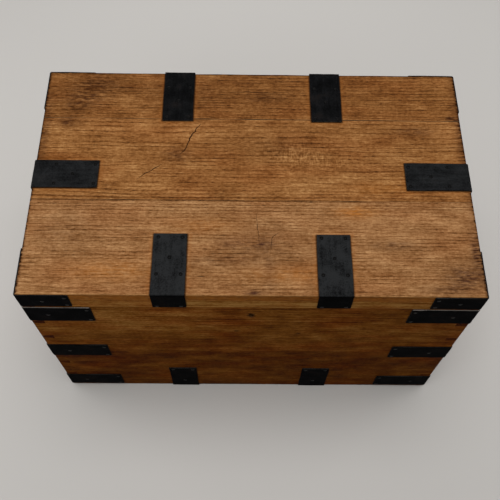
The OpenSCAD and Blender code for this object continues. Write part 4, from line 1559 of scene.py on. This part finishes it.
@dataclass
class Carcass:
    """The walls, the bottom, the lid's rails and the lock: CAD solids with softened edges."""

    arris: float = 0.5 * MM
    arris_steps: int = 2
    sharp: float = math.radians(50)  # an edge that turns by more is softened
    weld: float = 0.01 * MM
    lock_nail_inset: float = 8 * MM
    shift_mm: float = 211.0  # from one board's figure to the next one's
    boards: tuple[Board, ...] = (
        # The front boards grow darker downwards: painted shade, darker towards the bottom of the front
        Board("front_board_upper", (-40.0, 560.0), -0.03),
        Board("front_board_lower", (-90.0, -160.0), -0.18),
        Board("back_board_upper", (500.0, 60.0), 0.0),
        Board("back_board_lower", (-160.0, -220.0), 0.02),
        Board("left_end_board_upper", (640.0, 560.0), 0.0, Grain.ALONG_Y),
        Board("left_end_board_lower", (700.0, -120.0), -0.03, Grain.ALONG_Y),
        Board("right_end_board_upper", (-640.0, 520.0), 0.02, Grain.ALONG_Y),
        Board("right_end_board_lower", (-620.0, -180.0), 0.0, Grain.ALONG_Y),
        Board("bottom_board_front", (-400.0, 200.0), -0.05),
        Board("bottom_board_back", (500.0, 240.0), -0.03),
        # lighter lid front rail: painted light at the top of the front
        Board("lid_rail_front", (-620.0, 260.0), 0.25),
        Board("lid_rail_back", (560.0, 300.0), -0.03),
        Board("lid_rail_left", (640.0, 300.0), 0.0, Grain.ALONG_Y),
        Board("lid_rail_right", (-640.0, 300.0), 0.0, Grain.ALONG_Y),
    )

    def spots(self) -> dict[str, tuple[Spot, ...]]:
        """Lists the marks of the front: two lighter places on its upper left, painted light where more light
        falls, painted shade round and inside the keyhole, and two knots.

        Returns:
            The spots of each node that has some.
        """
        front = float(node_box("front_board_upper")[0][1]) / MM
        return {
            "front_board_upper": (
                # painted light: lighter places on the upper left of the front
                Spot((-300.0, front, 390.0), (260.0, 14.0, 90.0), lift=0.25),
                Spot((-112.0, front, 420.0), (80.0, 14.0, 24.0), lift=0.14),
                # painted shade round the keyhole and inside its slot
                Spot((0.0, front, 415.0), (9.0, 40.0, 12.0), 0.9),
                Spot((-27.0, front, 338.0), (7.0, 14.0, 6.0), 0.6),
                Spot((90.0, front, 327.0), (6.0, 14.0, 5.0), 0.6),
            )
        }

    def dress(self, node: str, material: Material, arris: float) -> None:
        """Softens a CAD node's edges and gives it its finish.

        Args:
            node: The CAD node's name.
            material: Its finish.
            arris: Width of the bevel on its sharp edges.
        """
        solid = frame["nodes"][node]
        weld = solid.modifiers.new("merge_corners", "WELD")
        weld.merge_threshold = self.weld
        bevel = solid.modifiers.new("soft_edges", "BEVEL")
        bevel.width, bevel.segments = arris, self.arris_steps
        bevel.limit_method, bevel.angle_limit = "ANGLE", self.sharp
        if solid.data.materials:
            solid.data.materials[0] = material
        else:
            solid.data.materials.append(material)
        LOG.info("%s: %s", node, material.name)

    def build(self, work: Ironwork) -> None:
        """Dresses every carried-over node and drives the lock's nails.

        Args:
            work: The ironwork, which holds the nails.
        """
        spots = self.spots()
        finish = {"roughness": 0.6, "specular": 0.012, "dashes": 0.5, "clouds": 0.65, "reds": 0.6}
        for number, board in enumerate(self.boards):
            oak = WaxedOak(board, self.shift_mm * number, spots=spots.get(board.node, ()), **finish).make()
            self.dress(board.node, oak, self.arris / 2 if "rail" in board.node else self.arris)
        coat = {"dark": "141312", "coat": "2b2a29", "light": "3b3a38", "rubbed": "55524e", "dusty": 0.6}
        lock_iron = BlackIron("plain_dark_iron_lock", **coat, roughness=0.46, specular=0.5).make()
        self.dress("lock_case", work.irons[Dust.DARK], self.arris / 2)
        for node in ("lock_plate", "lock_bolt", "lock_link_plate"):
            self.dress(node, lock_iron, self.arris / 2)
        low, high = node_box("lock_plate")
        case_low, case_high = node_box("lock_case")
        for x in ((low[0] + case_low[0]) / 2, (high[0] + case_high[0]) / 2):
            for z in (high[2] - self.lock_nail_inset, low[2] + self.lock_nail_inset):
                work.box_nails.drive(np.array([x, high[1], z]), Y)


@dataclass(frozen=True)
class Lamp:
    """A square soft lamp: its place in metres, its power in watts and its width."""

    name: str
    place: Place
    watts: float
    size: float = 0.8


@dataclass
class Studio:
    """The camera where the photograph was taken from, a plain pale floor, and soft light."""

    eye_mm: Place = (-16.4, -743.4, 1624.5)
    pitch: float = math.radians(62.47)
    yaw: float = math.radians(1.26)
    roll: float = math.radians(1.58)
    focal_px: float = 727.5
    frame_px: float = 500.0
    floor_half: float = 40.0
    sun_level: float = 2.02
    sun_softness: float = math.radians(50)
    sun_tilt: float = math.radians(2)
    lamps: tuple[Lamp, ...] = (
        Lamp("front_lamp", (-0.8, -1.1, 1.4), 3.6),
        Lamp("left_lamp", (-1.5, 0.3, 1.0), 4.0),
        Lamp("right_lamp", (1.5, 0.3, 1.0), 4.0),
        Lamp("back_lamp", (0.0, 1.5, 1.0), 3.5),
    )
    backdrop: str = "cbc9c5"
    ambient: float = 0.12

    def hang(self, data: bpy.types.Camera | bpy.types.Light) -> bpy.types.Object:
        """Adds the camera or a lamp to the scene.

        Args:
            data: What it is.

        Returns:
            The new object.
        """
        made = bpy.data.objects.new(data.name, data)
        bpy.context.scene.collection.objects.link(made)
        return made

    def camera(self) -> None:
        """Places the camera: it looks down by the pitch, then is turned by the yaw and the roll."""
        data = bpy.data.cameras.new("camera")
        data.sensor_width = 36.0
        data.lens = self.focal_px / self.frame_px * data.sensor_width
        turn = Matrix.Rotation(-self.yaw, 4, "Z") @ Matrix.Rotation(QUARTER - self.pitch, 4, "X")
        turn = turn @ Matrix.Rotation(self.roll, 4, "Z")
        bpy.context.scene.camera = self.hang(data)
        bpy.context.scene.camera.matrix_world = Matrix.Translation(Vector(self.eye_mm) * MM) @ turn

    def floor(self) -> None:
        """Lays the floor, one large square at z = 0."""
        half = self.floor_half
        corners = np.array([[-half, -half, 0], [half, -half, 0], [half, half, 0], [-half, half, 0]])
        made = Shell(corners, [np.array([[0, 1, 2, 3]])]).to_object("floor", PaleFloor().make())

    def lights(self) -> None:
        """Sets a soft even light from above, hangs weaker lamps round the chest, each turned to
        its middle, and makes the room pale."""
        even = bpy.data.lights.new("even_light", "SUN")
        even.energy, even.angle = self.sun_level, self.sun_softness
        self.hang(even).rotation_euler = (self.sun_tilt, 0.0, 0.0)
        middle = (CAD_BOX[0] + CAD_BOX[1]) / 2
        for lamp in self.lamps:
            data = bpy.data.lights.new(lamp.name, "AREA")
            data.shape, data.size, data.energy = "SQUARE", lamp.size, lamp.watts
            hung = self.hang(data)
            hung.location = lamp.place
            hung.rotation_euler = (middle - Vector(lamp.place)).to_track_quat("-Z", "Y").to_euler()
            hung.visible_camera = False
        world = bpy.data.worlds.new("pale_room")
        bpy.context.scene.world = world
        g = ShaderGraph(world)
        seen = g.add("Background", self.backdrop, 1.0)
        around = g.add("Background", self.backdrop, self.ambient)
        g.add("OutputWorld", g.add("MixShader", plain_sight(g), around, seen))

    def build(self) -> None:
        """Sets the stage."""
        bpy.context.scene.view_settings.view_transform = "Standard"
        self.camera()
        self.floor()
        self.lights()
        LOG.info("studio: camera, floor and lights")


def main() -> None:
    """Builds the chest and its studio."""
    logging.basicConfig(level=logging.INFO, format="%(name)s: %(message)s")
    Studio().build()
    LidTop().build()
    work = Ironwork()
    work.build()
    for side in Side:
        Hinge(side, work).build()
        Handle(side, work).build()
    Carcass().build(work)
    work.set_nails()


if __name__ == "__main__":
    main()
